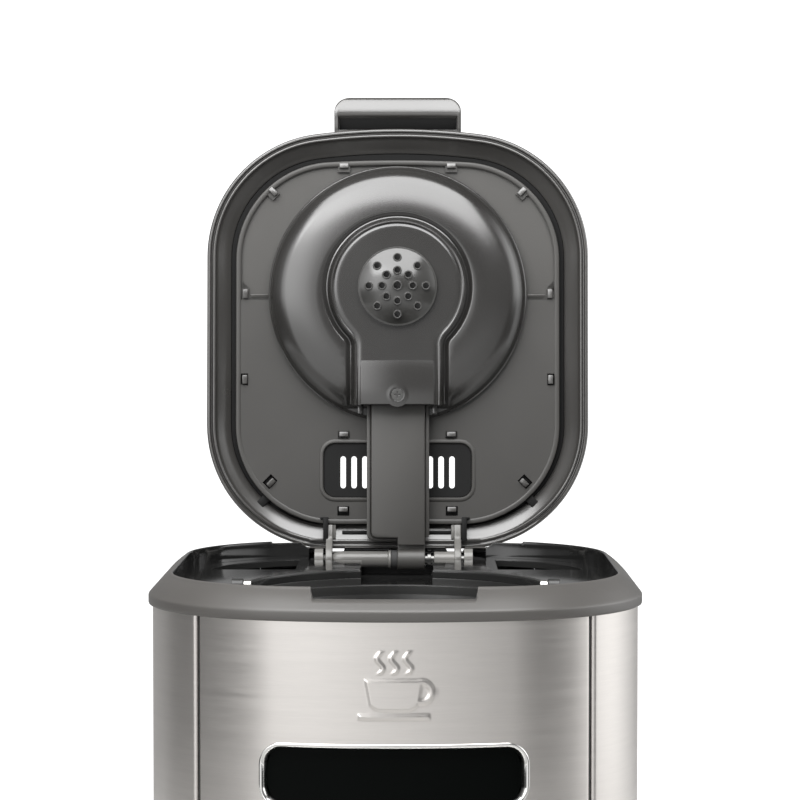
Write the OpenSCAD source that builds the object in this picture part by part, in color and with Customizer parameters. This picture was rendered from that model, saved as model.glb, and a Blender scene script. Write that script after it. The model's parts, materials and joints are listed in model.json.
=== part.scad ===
// Drip coffee maker: a tower with a rear water column, a filter chamber under a hinged lid,
// a swing-down spray arm, and an insulated carafe that slides into the bay below.
// Millimetres. +Z is up, the front is -Y, and the origin is on the table under the body's centre.

/* [Body] */
// Width of the steel body
body_w = 200; // [198:1:204]
// Depth of the steel body
body_d = 225; // [224:1:228]
// Radius of the body's upright corners
corner_r = 70; // [68:1:71]
// Radius of the gentle bow across the front
bow_r = 200; // [190:5:260]
// Height of the collar's crest above the table
rim_h = 345; // [344:1:348]
// Height of the base, where the carafe stands
base_h = 56; // [54:1:56]
// Height of the bay between base and head
bay_h = 163.5; // [163.5:0.5:165]

/* [Collar] */
// How far the collar stands proud of the steel
collar_proud = 1.8; // [1.2:0.2:2.4]
// Height of the collar's upright band
band_h = 4.5; // [4:0.5:5]
// Height of the collar's sloping face
bevel_h = 8; // [8:0.5:8.5]
// Gap between the lid and the collar
lid_gap = 2.5; // [2.3:0.1:2.7]

/* [Lid and spray arm] */
// Angle at which the lid stands open
lid_open = 94; // [90:1:95]
// Width of the lid
lid_w = 178.4; // [177:0.2:179]
// Radius of the lid's corners
lid_r = 58; // [56:1:59]
// Radius of the spray disc
disc_r = 60.3; // [58:0.1:60.5]
// Number of slots in the lid's vent
vent_slots = 11; // [7:2:11]

/* [Brewing] */
// Inner radius of the well that holds the filter basket
well_r = 62; // [62:0.5:63]
// Travel of the drip stop
drip_travel = 4; // [3:0.5:4]

/* [Carafe] */
// Largest radius of the carafe
carafe_r = 62; // [60:0.5:62]

/* [Front panel] */
// Width of the display window
window_w = 106; // [100:1:107]
// Height of the display window
window_h = 26; // [25:1:30]

/* [Hidden] */
$fn = 96;
eps = 0.01;

// Colours
c_dark = [0.17, 0.17, 0.165];
c_grey = [0.36, 0.355, 0.345];
c_steel = [0.72, 0.71, 0.69];
c_black = [0.04, 0.04, 0.04];

// Heights
collar_b = rim_h - band_h - bevel_h;      // underside of the collar, top of the steel
deck_t = rim_h - 8;                       // top of the deck inside the opening
deck_th = 3;
plinth_t = 16;                            // top of the plinth
head_b = base_h + bay_h;                  // underside of the head

// Feet and the screws that hold the base together, as distances from the middle
foot_at = [62, 62];
screw_at = [66, 84];

// Steel and plastic thicknesses
sheet_t = 1;
frame_t = 2;

// The hinge axis that the lid and the spray arm share
pivot = [0, body_d/2 - 8.9, rim_h - 9];
// Filter basket and carafe axis
axis_y = pivot[1] - 125;

// Lid outline when it is shut
lid_front = pivot[1] - 201.6;
lid_back = pivot[1] - 4.8;
lid_bow = 300;
lid_top = rim_h + 1;
skirt_b = rim_h - 7;
panel_b = rim_h - 3.2;
panel_th = 1.5;

// Corner geometry of the body, for where the front and side sheets part
cx = body_w/2 - corner_r;
cy_front = -body_d/2 + bow_r - sqrt(pow(bow_r - corner_r, 2) - cx*cx);
seam_angle = 43.3;
seam_half = 1.45;
bead_r = 1.2;

// Rear cover, and where the cable enters it
cover_half = 63.6;
cover_t = 2.5;
gland_at = [20, 30];

// Filter basket
basket_rim = rim_h - 14;
basket_r = 58.6;
basket_floor = 238;
ear_x = 64;
handle_z = rim_h - 8;

// Display window and buttons
window_z = rim_h - 60 - window_h/2;
button_z = 232.5;
button_x = [-39, -13, 13, 39];
button_size = [14, 6.5];

// Vent window in the lid, measured from the hinge axis
vent_y = pivot[1] - 41.4;
vent_size = [69.4, 25.4];
slot_pitch = 5.1;
slot_size = [2.6, 15];

// Snap hooks that hold the lid's inner panel: [across, forward of the hinge axis, turn]
hooks = [
    [25.2, 183.9, 0], [58.8, 171.9, -45], [72, 124.2, -90], [72.2, 84, -90],
    [59.6, 36, -135], [25.2, 57.8, 0], [25.4, 22.6, 0]
];

// ---------- outlines ----------

// An outline with round corners and a gently bowed front that runs smoothly into them
module bowed_plan(half_w, front, back, r, bow) {
    x = half_w - r;
    run = sqrt(pow(bow - r, 2) - x*x);
    y_front = front + bow - run;
    y_back = back - r;
    reach = x*bow/(bow - r) + 3;
    for (sx = [-x, x], sy = [y_front, y_back]) translate([sx, sy]) circle(r);
    translate([-half_w, y_front]) square([2*half_w, y_back - y_front]);
    translate([-x, y_front]) square([2*x, back - y_front]);
    intersection() {
        translate([0, y_front + run]) circle(bow);
        translate([-reach, front - 5]) square([2*reach, y_front - front + 5]);
    }
}

// The body's outline, grown by k
module body_plan(k = 0)
    bowed_plan(body_w/2 + k, -body_d/2 - k, body_d/2 + k, corner_r + k, bow_r + k);

// The lid's outline, grown by k
module lid_plan(k = 0)
    bowed_plan(lid_w/2 + k, lid_front - k, lid_back + k, lid_r + k, lid_bow + k);

// A thin wall that follows the body's outline, from depth a to depth b inside it
module body_wall(a, b) difference() {
    body_plan(-a);
    body_plan(-b);
}

module round_rect(w, h, r) {
    for (x = [-1, 1], y = [-1, 1]) translate([x*(w/2 - r), y*(h/2 - r)]) circle(r);
    square([w - 2*r, h], center = true);
    square([w, h - 2*r], center = true);
}

module pill(w, h) {
    for (x = [-1, 1]) translate([x*(w - h)/2, 0]) circle(h/2);
    square([w - h, h], center = true);
}

// Extrudes a front-view outline through the front of the body
module front_cut(x, z, depth = 40) translate([x, -body_d/2 - 8 + depth, z])
    rotate([90, 0, 0]) linear_extrude(depth) children();

// The part of an outline in front of the seams
module front_sector(angle) polygon([
    [-cx, cy_front], [-cx - 140*sin(angle), cy_front - 140*cos(angle)],
    [cx + 140*sin(angle), cy_front - 140*cos(angle)], [cx, cy_front]
]);

// An upright bead along a sheet's rolled edge
module seam_bead(side, angle, z0, z1)
    translate([side*(cx + (corner_r - bead_r)*sin(angle)), cy_front - (corner_r - bead_r)*cos(angle), z0])
        cylinder(r = bead_r, h = z1 - z0);

// Grooves in the frame behind the beads
module seam_grooves() for (s = [-1, 1], a = [seam_angle - seam_half, seam_angle + seam_half])
    translate([s*(cx + (corner_r - bead_r)*sin(a)), cy_front - (corner_r - bead_r)*cos(a), 0])
        cylinder(r = bead_r + 0.15, h = rim_h);

// A cylinder along X from x0 to x1, on the hinge axis
module on_pivot(x0, x1, r) translate([x0, pivot[1], pivot[2]]) rotate([0, 90, 0]) cylinder(r = r, h = x1 - x0);

// Stands the lid or arm open, from how it lies when it is shut
module opened() translate(pivot) rotate([-lid_open, 0, 0]) translate(-pivot) children();

// ---------- base ----------

module at_screws() for (x = [-1, 1], y = [-1, 1]) translate([x*screw_at[0], y*screw_at[1], 0]) children();

module plinth_tray() color(c_dark) difference() {
    translate([0, 0, 4]) linear_extrude(plinth_t - 4) body_plan(collar_proud);
    translate([0, 0, 7]) linear_extrude(plinth_t) body_plan(-2.2);
    at_screws() translate([0, 0, 3]) cylinder(r = 2.1, h = 5);
    for (i = [-5:5], y = [-46, 14]) translate([i*9 - 1.5, y, 3]) cube([3, 32, 5]);
}

module rubber_feet() color(c_black) {
    for (x = [-1, 1], y = [-1, 1]) translate([x*foot_at[0], y*foot_at[1], 0]) difference() {
        cylinder(r = 9.5, h = 4);
        translate([0, 0, -1]) cylinder(r = 3, h = 2.2);
    }
    cylinder(r = 9.5, h = 4);
}

module base_screws() color(c_steel) at_screws() difference() {
    union() {
        translate([0, 0, 2.2]) cylinder(r = 3.6, h = 1.8);
        translate([0, 0, 4]) cylinder(r = 1.9, h = 16);
    }
    translate([-2.4, -0.4, 2]) cube([4.8, 0.8, 1]);
    translate([-0.4, -2.4, 2]) cube([0.8, 4.8, 1]);
}

// The outline just inside the steel, set further in behind the rear cover
module inner_plan(depth) difference() {
    body_plan(-depth);
    difference() {
        translate([-cover_half - 0.2, 60]) square([2*cover_half + 0.4, 80]);
        body_plan(-depth - cover_t + sheet_t);
    }
}

module base_housing() color(c_dark) difference() {
    union() {
        translate([0, 0, plinth_t]) linear_extrude(base_h - plinth_t) difference() {
            inner_plan(sheet_t + 0.2);
            inner_plan(sheet_t + 0.2 + frame_t);
        }
        translate([0, 0, base_h - 3]) linear_extrude(3) inner_plan(sheet_t + 0.2);
        at_screws() translate([0, 0, 7]) cylinder(r = 4.5, h = base_h - 9);
    }
    at_screws() translate([0, 0, 6]) cylinder(r = 1.95, h = 16);
    translate([0, axis_y, base_h - 1.6]) cylinder(r = 65.5, h = 5);
    translate([-40, 54, base_h - 5]) cylinder(r = 5, h = 10);
    translate([40, 80, base_h - 5]) cylinder(r = 6, h = 10);
    translate([gland_at[0], body_d/2 - 10, gland_at[1]]) rotate([-90, 0, 0]) cylinder(r = 7, h = 20);
    seam_grooves();
}

module base_front_panel() color(c_steel) {
    translate([0, 0, plinth_t]) linear_extrude(base_h - plinth_t) intersection() {
        body_wall(0, sheet_t);
        front_sector(seam_angle - seam_half);
    }
    for (s = [-1, 1]) seam_bead(s, seam_angle - seam_half, plinth_t, base_h);
}

module carafe_pad() color(c_black) translate([0, axis_y, base_h - 1.6]) difference() {
    cylinder(r = 65.3, h = 1.6);
    for (i = [1:5]) translate([0, 0, 1.1]) difference() {
        cylinder(r = 12*i + 1, h = 2);
        translate([0, 0, -1]) cylinder(r = 12*i, h = 4);
    }
}

// ---------- tower ----------

module bay_liner() color(c_dark) difference() {
    translate([0, 0, base_h]) linear_extrude(bay_h) {
        difference() {
            body_wall(sheet_t + 0.2, sheet_t + 0.2 + frame_t);
            front_sector(seam_angle + seam_half);
            translate([-cover_half - 0.2, 60]) square([2*cover_half + 0.4, 80]);
        }
        // the curved back of the bay, with a wing each side
        difference() {
            translate([0, axis_y]) circle(72.5);
            translate([0, axis_y]) circle(70);
            translate([-100, -150]) square([200, 176]);
        }
        intersection() {
            for (s = [-1, 1]) translate([s*73 - 25, 26]) square([50, 2.5]);
            body_plan(-sheet_t - 0.2 - frame_t + eps);
        }
    }
    seam_grooves();
}

module side_panel(side) color(c_steel) {
    translate([0, 0, plinth_t]) linear_extrude(collar_b - plinth_t) intersection() {
        body_wall(0, sheet_t);
        scale([side, 1]) polygon([
            [cx, cy_front], [cx + 140*sin(seam_angle + seam_half), cy_front - 140*cos(seam_angle + seam_half)],
            [body_w, cy_front - 140*cos(seam_angle + seam_half)], [body_w, body_d], [64, body_d], [64, 20]
        ]);
    }
    seam_bead(side, seam_angle + seam_half, plinth_t, collar_b);
}

module front_panel() color(c_steel) difference() {
    union() {
        translate([0, 0, head_b]) linear_extrude(collar_b - head_b) intersection() {
            body_wall(0, sheet_t);
            front_sector(seam_angle - seam_half);
        }
        for (s = [-1, 1]) seam_bead(s, seam_angle - seam_half, head_b, collar_b);
    }
    front_cut(0, window_z) round_rect(window_w, window_h, 8);
    for (x = button_x) front_cut(x, button_z) pill(button_size[0] + 0.6, button_size[1] + 0.6);
}

module window_bezel() color("silver") intersection() {
    translate([0, 0, window_z - window_h]) linear_extrude(2*window_h) body_wall(-0.5, 5);
    difference() {
        front_cut(0, window_z) round_rect(window_w - 0.2, window_h - 0.2, 7.9);
        front_cut(0, window_z) round_rect(window_w - 5, window_h - 5, 5.5);
    }
}

module display_glass() color(c_black) intersection() {
    translate([0, 0, window_z - window_h]) linear_extrude(2*window_h) body_wall(2.5, 4.2);
    front_cut(0, window_z) round_rect(window_w - 5.2, window_h - 5.2, 5.4);
}

module display_module() color(c_black) {
    translate([-40, -104, window_z - 10]) cube([80, 5, 20]);
    translate([-43, -99, window_z - 14]) cube([86, 2, 28]);
}

module control_board() color("darkgreen") {
    translate([-46, -96.5, 226]) cube([92, 1.6, 58]);
    for (x = button_x) translate([x - 3, -99.6, button_z - 3]) cube([6, 3.1, 6]);
    for (x = [-30, -12, 8]) translate([x, -94.9, 262]) cube([10, 3, 14]);
    translate([26, -94.9, 262]) cube([14, 5, 9]);
}

// A push button with a stem that reaches the switch behind it
module button(x) color(c_steel) {
    intersection() {
        translate([0, 0, button_z - 10]) linear_extrude(20) body_wall(-0.9, 4.5);
        front_cut(x, button_z) pill(button_size[0], button_size[1]);
    }
    translate([x - 2, -108, button_z - 2]) cube([4, 6.9, 4]);
}

module head_frame() color(c_dark) difference() {
    translate([0, 0, head_b + 3]) linear_extrude(collar_b - head_b - 3)
        body_wall(sheet_t + 0.2, sheet_t + 0.2 + frame_t);
    front_cut(0, window_z, 30) round_rect(window_w + 1, window_h + 1, 8);
    for (x = button_x) front_cut(x, button_z, 30) pill(button_size[0] + 0.8, button_size[1] + 0.8);
    translate([-cover_half - 0.2, 60, 0]) cube([2*cover_half + 0.4, 80, 500]);
    seam_grooves();
}

module head_floor() color(c_dark) difference() {
    translate([0, 0, head_b]) linear_extrude(3) intersection() {
        body_plan(-sheet_t - 0.2);
        translate([-150, -150]) square([300, 203]);
    }
    translate([0, axis_y, head_b - 1]) cylinder(r = 24, h = 6);
    translate([-40, 54, head_b - 1]) cylinder(r = 5, h = 6);
    seam_grooves();
}

module brew_well() color(c_dark) difference() {
    union() {
        translate([0, axis_y, 230]) cylinder(r = well_r + 2, h = deck_t - deck_th - 230);
        translate([0, axis_y, head_b + 3]) cylinder(r = 25, h = 8);
    }
    translate([0, axis_y, 232]) cylinder(r = well_r, h = 200);
    translate([0, axis_y, head_b]) cylinder(r = 22, h = 20);
    arm_notch();
    ear_notches();
}

// Where the spray arm drops through the rim of the well
module arm_notch() translate([-15.8, axis_y + 50, rim_h - 15]) cube([31.6, 30, 40]);

// Where the basket's ears drop in
module ear_notches() for (s = [-1, 1])
    translate([s*65.5 - 5.9, axis_y - 6.3, rim_h - 17]) cube([11.8, 12.6, 30]);

// The recess for the arm and the hinge: a trough from the well, and a pocket across the back
module hinge_recess(k) {
    translate([-16.3 - k, axis_y + well_r]) square([32.6 + 2*k, lid_back + lid_gap - axis_y - well_r]);
    intersection() {
        translate([-41 - k, 88 - k]) square([82 + 2*k, pivot[1] + 5.2 - 88 + 2*k]);
        body_plan(-cover_t - 1.2 + k);
    }
}

module brew_deck() color(c_grey) difference() {
    union() {
        translate([0, 0, deck_t - deck_th]) linear_extrude(deck_th) lid_plan(lid_gap);
        translate([0, 0, rim_h - 18.5]) linear_extrude(collar_b - rim_h + 18.5) hinge_recess(1);
        translate([0, 0, rim_h - 18.5]) linear_extrude(9) intersection() {
            hinge_recess(1);
            lid_plan(lid_gap);
        }
    }
    translate([0, axis_y, 300]) cylinder(r = well_r, h = 60);
    translate([0, axis_y, 300]) cylinder(r = well_r + 2, h = deck_t - deck_th - 300);
    translate([0, 0, rim_h - 16.5]) linear_extrude(40) hinge_recess(0);
    translate([-20, pivot[1], 300]) cylinder(r = 3, h = 60);
    arm_notch();
    ear_notches();
    // filling openings to the tank, one each side of the hinge
    for (s = [-1, 1]) translate([0, 0, deck_t - 5]) linear_extrude(10) difference() {
        intersection() {
            lid_plan(-6);
            scale([s, 1]) translate([45, 46]) square([60, 46]);
        }
        translate([0, axis_y]) circle(well_r + 8);
    }
}

module top_collar() color(c_grey) difference() {
    union() {
        translate([0, 0, collar_b]) linear_extrude(band_h) body_plan(collar_proud);
        hull() {
            translate([0, 0, collar_b + band_h]) linear_extrude(eps) body_plan(collar_proud, $fn = 64);
            translate([0, 0, rim_h - eps]) linear_extrude(eps) lid_plan(lid_gap + 1.2, $fn = 64);
        }
    }
    translate([0, 0, collar_b - 1]) linear_extrude(40) lid_plan(lid_gap);
    // recess for the lid's handle
    translate([-33, -body_d/2 - 10, rim_h - 4.8]) cube([66, 50, 20]);
    // room for the hinge, and for the lid's back edge when it stands open
    translate([-41, 80, collar_b - 1]) cube([82, 29.3 + pivot[1] - 103.6, 40]);
    translate([-58, 80, rim_h - 6]) cube([116, 60, 20]);
}

module rear_cover() color(c_dark) difference() {
    translate([0, 0, plinth_t]) linear_extrude(collar_b - plinth_t) intersection() {
        body_wall(0, cover_t);
        translate([-cover_half, 60]) square([2*cover_half, 100]);
    }
    for (i = [0:11]) translate([-26, 80, 70 + 6*i]) cube([52, 60, 2.6]);
    translate([-5, 80, 175]) cube([10, 60, 120]);
    translate([gland_at[0], body_d/2 - 10, gland_at[1]]) rotate([-90, 0, 0]) cylinder(r = 7, h = 20);
}

module level_window() color([0.8, 0.85, 0.9, 0.5]) {
    translate([-4.9, body_d/2 - cover_t - 0.5, 175.1]) cube([9.8, cover_t + 0.3, 119.8]);
    translate([-8, body_d/2 - cover_t - 1.4, 172]) cube([16, 1.2, 126]);
}

module cable_gland() color(c_black) translate([gland_at[0], body_d/2 - 7, gland_at[1]]) rotate([-90, 0, 0]) difference() {
    union() {
        cylinder(r = 6.9, h = 9);
        translate([0, 0, 7.2]) cylinder(r = 9.5, h = 3);
        cylinder(r = 8.5, h = 2.2);
    }
    translate([0, 0, -1]) cylinder(r = 3.6, h = 20);
}

// ---------- water ----------

tank_b = 150;
tank_t = rim_h - 33;

module tank_plan(k) intersection() {
    body_plan(-7 - k);
    translate([-86 + k, 61 + k]) square([172 - 2*k, 60]);
}

module water_tank() color([0.75, 0.78, 0.8, 0.6]) difference() {
    union() {
        translate([0, 0, tank_b]) linear_extrude(tank_t - tank_b) tank_plan(0);
        translate([40, 80, tank_b - 8]) cylinder(r = 6, h = 9);
    }
    translate([0, 0, tank_b + 2]) linear_extrude(tank_t) tank_plan(2);
    translate([40, 80, tank_b - 10]) cylinder(r = 4, h = 20);
}

module check_valve() color("white") translate([40, 80, tank_b - 24]) difference() {
    union() {
        cylinder(r = 5, h = 16);
        translate([0, 0, 5]) cylinder(r = 7, h = 6);
    }
    translate([0, 0, -1]) cylinder(r = 2.5, h = 20);
}

// A tube through a list of points, with round elbows
module tube_run(points, r) {
    for (i = [0:len(points) - 2]) let (d = points[i + 1] - points[i], l = norm(d))
        translate(points[i]) rotate([0, acos(d[2]/l), atan2(d[1], d[0])]) cylinder(r = r, h = l);
    for (i = [1:len(points) - 2]) translate(points[i]) sphere(r + 0.4);
}

module cold_hose() color(c_grey) tube_run([[40, 80, tank_b - 24], [40, 80, 32], [40, 48, 32]], 4);

boiler_r = 34;

module boiler_tube() color(c_steel) translate([0, 28, 32]) {
    rotate([0, 0, 180]) rotate_extrude(angle = 180) translate([boiler_r + 6, 0]) circle(6);
    for (x = [-1, 1]) translate([x*(boiler_r + 6), 0, 0]) rotate([-90, 0, 0]) cylinder(r = 6, h = 16);
    for (x = [-1, 1]) translate([x*(boiler_r + 6), 16, 0]) rotate([-90, 0, 0]) cylinder(r = 3, h = 4);
}

module boiler_clamps() color("silver") for (x = [-1, 1]) translate([x*(boiler_r + 6), 34, 0]) difference() {
    translate([-10, -5, 7]) cube([20, 10, 33]);
    translate([0, -6, 32]) rotate([-90, 0, 0]) cylinder(r = 6, h = 12);
}

module thermostats() color("silver") for (x = [-18, 18]) translate([x, -8, 38]) {
    cylinder(r = 8, h = 5);
    translate([-11, -3, 0]) cube([22, 6, 1]);
    for (s = [-4, 4]) translate([s - 1.5, -0.4, 5]) cube([3, 0.8, 5]);
}

module power_board() color("darkgreen") {
    translate([-40, -85, 22]) cube([80, 50, 1.6]);
    for (x = [-36, 36], y = [-81, -39]) translate([x, y, 7]) cylinder(r = 2.5, h = 16);
    for (x = [-30, -8, 14]) translate([x, -75, 23.6]) cube([14, 18, 12]);
    for (x = [-34, 30]) translate([x, -50, 23.6]) cylinder(r = 5, h = 14);
}

module riser_pipe() color([0.85, 0.85, 0.83]) tube_run([
    [-40, 48, 32], [-40, 54, 32], [-40, 54, rim_h - 27], [-20, pivot[1], rim_h - 27], [-20, pivot[1], pivot[2] - 13.2]
], 4);

// ---------- hinge ----------

module hinge_barrel() color(c_steel) difference() {
    union() {
        on_pivot(-30, -3, 3.8);
        on_pivot(-38.5, -29, 2.2);
        on_pivot(-4, 5, 3);
        translate([-20, pivot[1], pivot[2] - 13.2]) cylinder(r = 2.8, h = 13);
    }
    on_pivot(-24, 6, 1.7);
    translate([-20, pivot[1], pivot[2] - 14]) cylinder(r = 1.7, h = 13);
    // the barrel's left end is cut back to a slope
    translate([-30, pivot[1], pivot[2]]) rotate([0, -45, 0]) difference() {
        translate([-10, -6, 0]) cube([20, 12, 10]);
        translate([-10, -7, -eps]) rotate([0, 45, 0]) translate([0, 0, -20]) cube([50, 14, 21.5]);
    }
}

module hinge_brackets() color(c_grey) for (x = [-38.5, 31]) difference() {
    union() {
        translate([x, pivot[1] - 5, rim_h - 16.5]) cube([4, 10, 8]);
        on_pivot(x, x + 4, 5);
    }
    on_pivot(x - 1, x + 5, 2.2);
    translate([x - 1, pivot[1] + 4.5, 300]) cube([6, 10, 60]);
}

module hinge_pin() color("silver") {
    on_pivot(6, 35, 2.2);
    on_pivot(14, 15.6, 3.4);
}

// ---------- lid ----------

module lid_shell() color(c_grey) opened() difference() {
    union() {
        translate([0, 0, skirt_b]) linear_extrude(lid_top - skirt_b) lid_plan();
        hull() {
            translate([0, 0, lid_top - eps]) linear_extrude(eps) lid_plan(0, $fn = 64);
            translate([0, 0, lid_top + 2.3]) linear_extrude(eps) lid_plan(-16, $fn = 64);
        }
        // handle tab
        translate([0, lid_front + 7, rim_h - 3.2]) linear_extrude(3.6) difference() {
            union() {
                translate([-29.8, -15.2]) square([59.6, 20]);
                translate([-22.8, -22.2]) square([45.6, 20]);
                for (s = [-1, 1]) translate([s*22.8, -15.2]) circle(7);
            }
        }
        translate([-22.8, lid_front - 15.2, rim_h - 4.4]) cube([45.6, 5, 3]);
    }
    difference() {
        translate([0, 0, skirt_b - 1]) linear_extrude(rim_h - 1 - skirt_b + 1) lid_plan(-2.2);
        // a second ridge inside the rim
        translate([0, 0, skirt_b + 2]) linear_extrude(20) difference() {
            lid_plan(-3.4);
            lid_plan(-4.4);
            translate([-42, lid_back - 20]) square([84, 30]);
        }
        for (h = hooks, s = [-1, 1]) snap_hook(h, s);
        for (x = [-37.2, 31.3]) translate([x, pivot[1] - 15, skirt_b + 1]) cube([2.2, 10, 10]);
    }
    // the skirt is cut away at the back, so that it clears the collar as it turns
    translate([-120, pivot[1] - 30, pivot[2] + 2]) rotate([10.9, 0, 0]) translate([0, 0, -20]) cube([240, 60, 20]);
    translate([0, vent_y, rim_h - 3]) linear_extrude(10) round_rect(vent_size[0] - 4, vent_size[1] - 4, 4);
}

// One hook on the lid shell: a post through the inner panel, with a nose under it
module snap_hook(h, s) translate([s*h[0], pivot[1] - h[1], 0]) rotate([0, 0, s*h[2]]) {
    translate([-1.8, -0.2, panel_b - 1.5]) cube([3.6, 1.6, 6]);
    translate([-1.8, -1.5, panel_b - 1.5]) cube([3.6, 2, 1.4]);
}

module lid_inner_panel() color(c_grey) opened() difference() {
    translate([0, 0, panel_b]) linear_extrude(panel_th) {
        bowed_plan(75.8, pivot[1] - 187.1, pivot[1] - 16.2, 46, 600);
    }
    for (h = hooks, s = [-1, 1]) translate([s*h[0], pivot[1] - h[1], panel_b - 1]) rotate([0, 0, s*h[2]])
        translate([-2.8, -2, 0]) cube([5.6, 4.4, 5]);
    translate([0, vent_y, panel_b - 1]) linear_extrude(10) round_rect(vent_size[0], vent_size[1], 5.5);
}

module lid_vent_grille() color(c_grey) opened() difference() {
    translate([0, vent_y, rim_h - 2.6]) linear_extrude(1.6) round_rect(vent_size[0] - 0.6, vent_size[1] - 0.6, 5.2);
    for (i = [-(vent_slots - 1)/2 : (vent_slots - 1)/2])
        translate([i*slot_pitch, vent_y + 0.9, rim_h - 3]) rotate([0, 0, 90]) linear_extrude(5) pill(slot_size[1], slot_size[0]);
}

// Outline of one lid arm, seen from the side: forward is -X, up is +Y, the hinge axis is at the centre
module arm_profile() {
    circle(4);
    polygon([[-3, 2.2], [-8.7, 8], [-16, 8], [-16, 4.6], [-9, 3.6], [-2, -3.2]]);
}

module lid_hinge_arms() color(c_steel) opened() for (x = [-33.5, 26.5]) difference() {
    union() {
        translate([x, pivot[1], pivot[2]]) rotate([90, 0, 90]) linear_extrude(3.2) arm_profile();
        if (x > 0) on_pivot(17, x + 1, 3.6);
        translate([x - 1.4, pivot[1] - 16, pivot[2] + 6.2]) cube([6, 6.6, 1.8]);
    }
    on_pivot(-50, 50, 2.27);
}

// ---------- spray arm ----------

arm_t = rim_h - 5;
arm_b = rim_h - 13.5;
arm_x = [-12.3, 12.8];
socket_y = pivot[1] - 71.5;

module arm_channel() color(c_grey) opened() difference() {
    union() {
        translate([arm_x[0] - 2, socket_y - 10, arm_b + 2.6]) cube([arm_x[1] - arm_x[0] + 4, pivot[1] - 8.4 - socket_y + 10, arm_t - arm_b - 2.6]);
        on_pivot(0, arm_x[1], 4.9);
        translate([0, pivot[1] - 12, arm_b + 2.6]) cube([arm_x[1], 12, arm_t - arm_b - 2.6]);
    }
    translate([arm_x[0], socket_y - 12, arm_b]) cube([arm_x[1] - arm_x[0], pivot[1] - 12 - socket_y + 12, arm_t - arm_b - 1.2]);
    on_pivot(-1, 5.6, 3.05);
    on_pivot(-1, 40, 2.25);
    translate([6, pivot[1] - 14, pivot[2] - 1.2]) cube([3, 14, 2.4]);
}

module arm_cover() color(c_grey) opened() difference() {
    translate([arm_x[0] + 0.05, socket_y - 14, arm_b]) cube([arm_x[1] - arm_x[0] - 0.1, pivot[1] - 12 - socket_y + 13.95, arm_t - arm_b - 1.25]);
    translate([arm_x[0] + 2, socket_y - 12, arm_b + 1.6]) cube([arm_x[1] - arm_x[0] - 4, pivot[1] - 14 - socket_y + 12, 10]);
    translate([arm_x[0] - 1, pivot[1] - 9.8, arm_b - 1]) cube([-arm_x[0] + 0.9, 20, 20]);
    translate([6, pivot[1] - 18, pivot[2] - 1.2]) cube([3, 14, 2.4]);
}

// Half outline of the disc: [radius, height below the crest]
disc_outer = [
    [0, 17.1], [51, 17.1], [54.6, 16], [57, 14], [58.8, 11.5], [59.7, 8.5], [disc_r, 5.4]
];
// Half outline of the raised ring round the spray head
ring_outer = [[0, 20.2], [28.6, 20.2], [30.4, 19.6], [32.2, 17.8], [33, 16.2], [33, 12], [0, 12]];
ring_inner = [[0, 18.5], [27.4, 18.5], [29.4, 17], [30.2, 14], [30.2, 4], [0, 4]];
disc_shell = 1.8;
// Middle of the disc, of the spray head in it and of the screw in its stem
disc_y = pivot[1] - 123.8;
head_y = pivot[1] - 126.4;
screw_y = pivot[1] - 76.3;

module spray_disc() color(c_grey) opened() difference() {
    union() {
        translate([0, disc_y, rim_h]) rotate_extrude() polygon(concat(
            [for (p = disc_outer) [p[0], -p[1]]], [[0, -5.4]]
        ));
        translate([0, head_y, rim_h]) rotate_extrude() polygon([for (p = ring_outer) [p[0], -p[1]]]);
        // the stem over the end of the arm
        translate([0, socket_y, rim_h]) rotate([90, 0, 0]) linear_extrude(socket_y - axis_y)
            polygon([[-22.2, -16.8], [-17.6, -20.2], [17.6, -20.2], [22.2, -16.8], [22.2, -6], [-22.2, -6]]);
    }
    // hollow inside
    translate([0, disc_y, rim_h]) rotate_extrude() polygon(concat(
        [for (p = disc_outer) [max(0, p[0] - disc_shell), -p[1] + disc_shell]], [[0, 0]]
    ));
    translate([0, head_y, rim_h]) rotate_extrude() polygon([for (p = ring_inner) [p[0], -p[1]]]);
    translate([-15.8, axis_y, rim_h - 18.4]) cube([31.6, 92.6, 40]);
    translate([0, head_y, rim_h - 30]) cylinder(r = 14, h = 30);
    translate([0, screw_y, rim_h - 30]) cylinder(r = 1.6, h = 20);
    translate([0, screw_y, rim_h - 21]) cylinder(r = 2.9, h = 1.6);
}

head_r = 18.3;
head_face = rim_h - 20.2;
cap_h = 5;
cap_r = (pow(head_r - 0.8, 2) + cap_h*cap_h)/(2*cap_h);
nozzles = concat([[0, 0, 2.2, 1.7]], [for (a = [0:45:315], r = [7.1, 13.2]) [r*cos(a), r*sin(a), 1.95, 1.35]]);

// Height of the spray head's dome below its rim, at a radius
function dome(r) = cap_h - (cap_r - sqrt(cap_r*cap_r - r*r));

module spray_head() color(c_grey) opened() translate([0, head_y, head_face]) difference() {
    union() {
        translate([0, 0, -2.6]) cylinder(r = head_r, h = 2.6);
        intersection() {
            translate([0, 0, -2.6 - cap_h + cap_r]) sphere(cap_r);
            translate([0, 0, -2.6 - cap_h]) cylinder(r = head_r - 0.8, h = cap_h);
        }
        cylinder(r = 13.8, h = 2);
        for (n = nozzles) translate([n[0], n[1], -2.6 - dome(norm([n[0], n[1]])) - 0.9]) cylinder(r = n[2], h = 3);
    }
    translate([0, 0, -1]) cylinder(r = 12.5, h = 6);
    for (n = nozzles) translate([n[0], n[1], -12]) cylinder(r = n[3], h = 14);
}

module arm_screw() color("silver") opened() translate([0, screw_y, rim_h - 20.9]) difference() {
    union() {
        cylinder(r = 2.8, h = 1.4);
        cylinder(r = 1.5, h = 6);
    }
    for (a = [0, 90]) rotate([0, 0, a]) translate([-1.6, -0.35, -1]) cube([3.2, 0.7, 1.8]);
}

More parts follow.
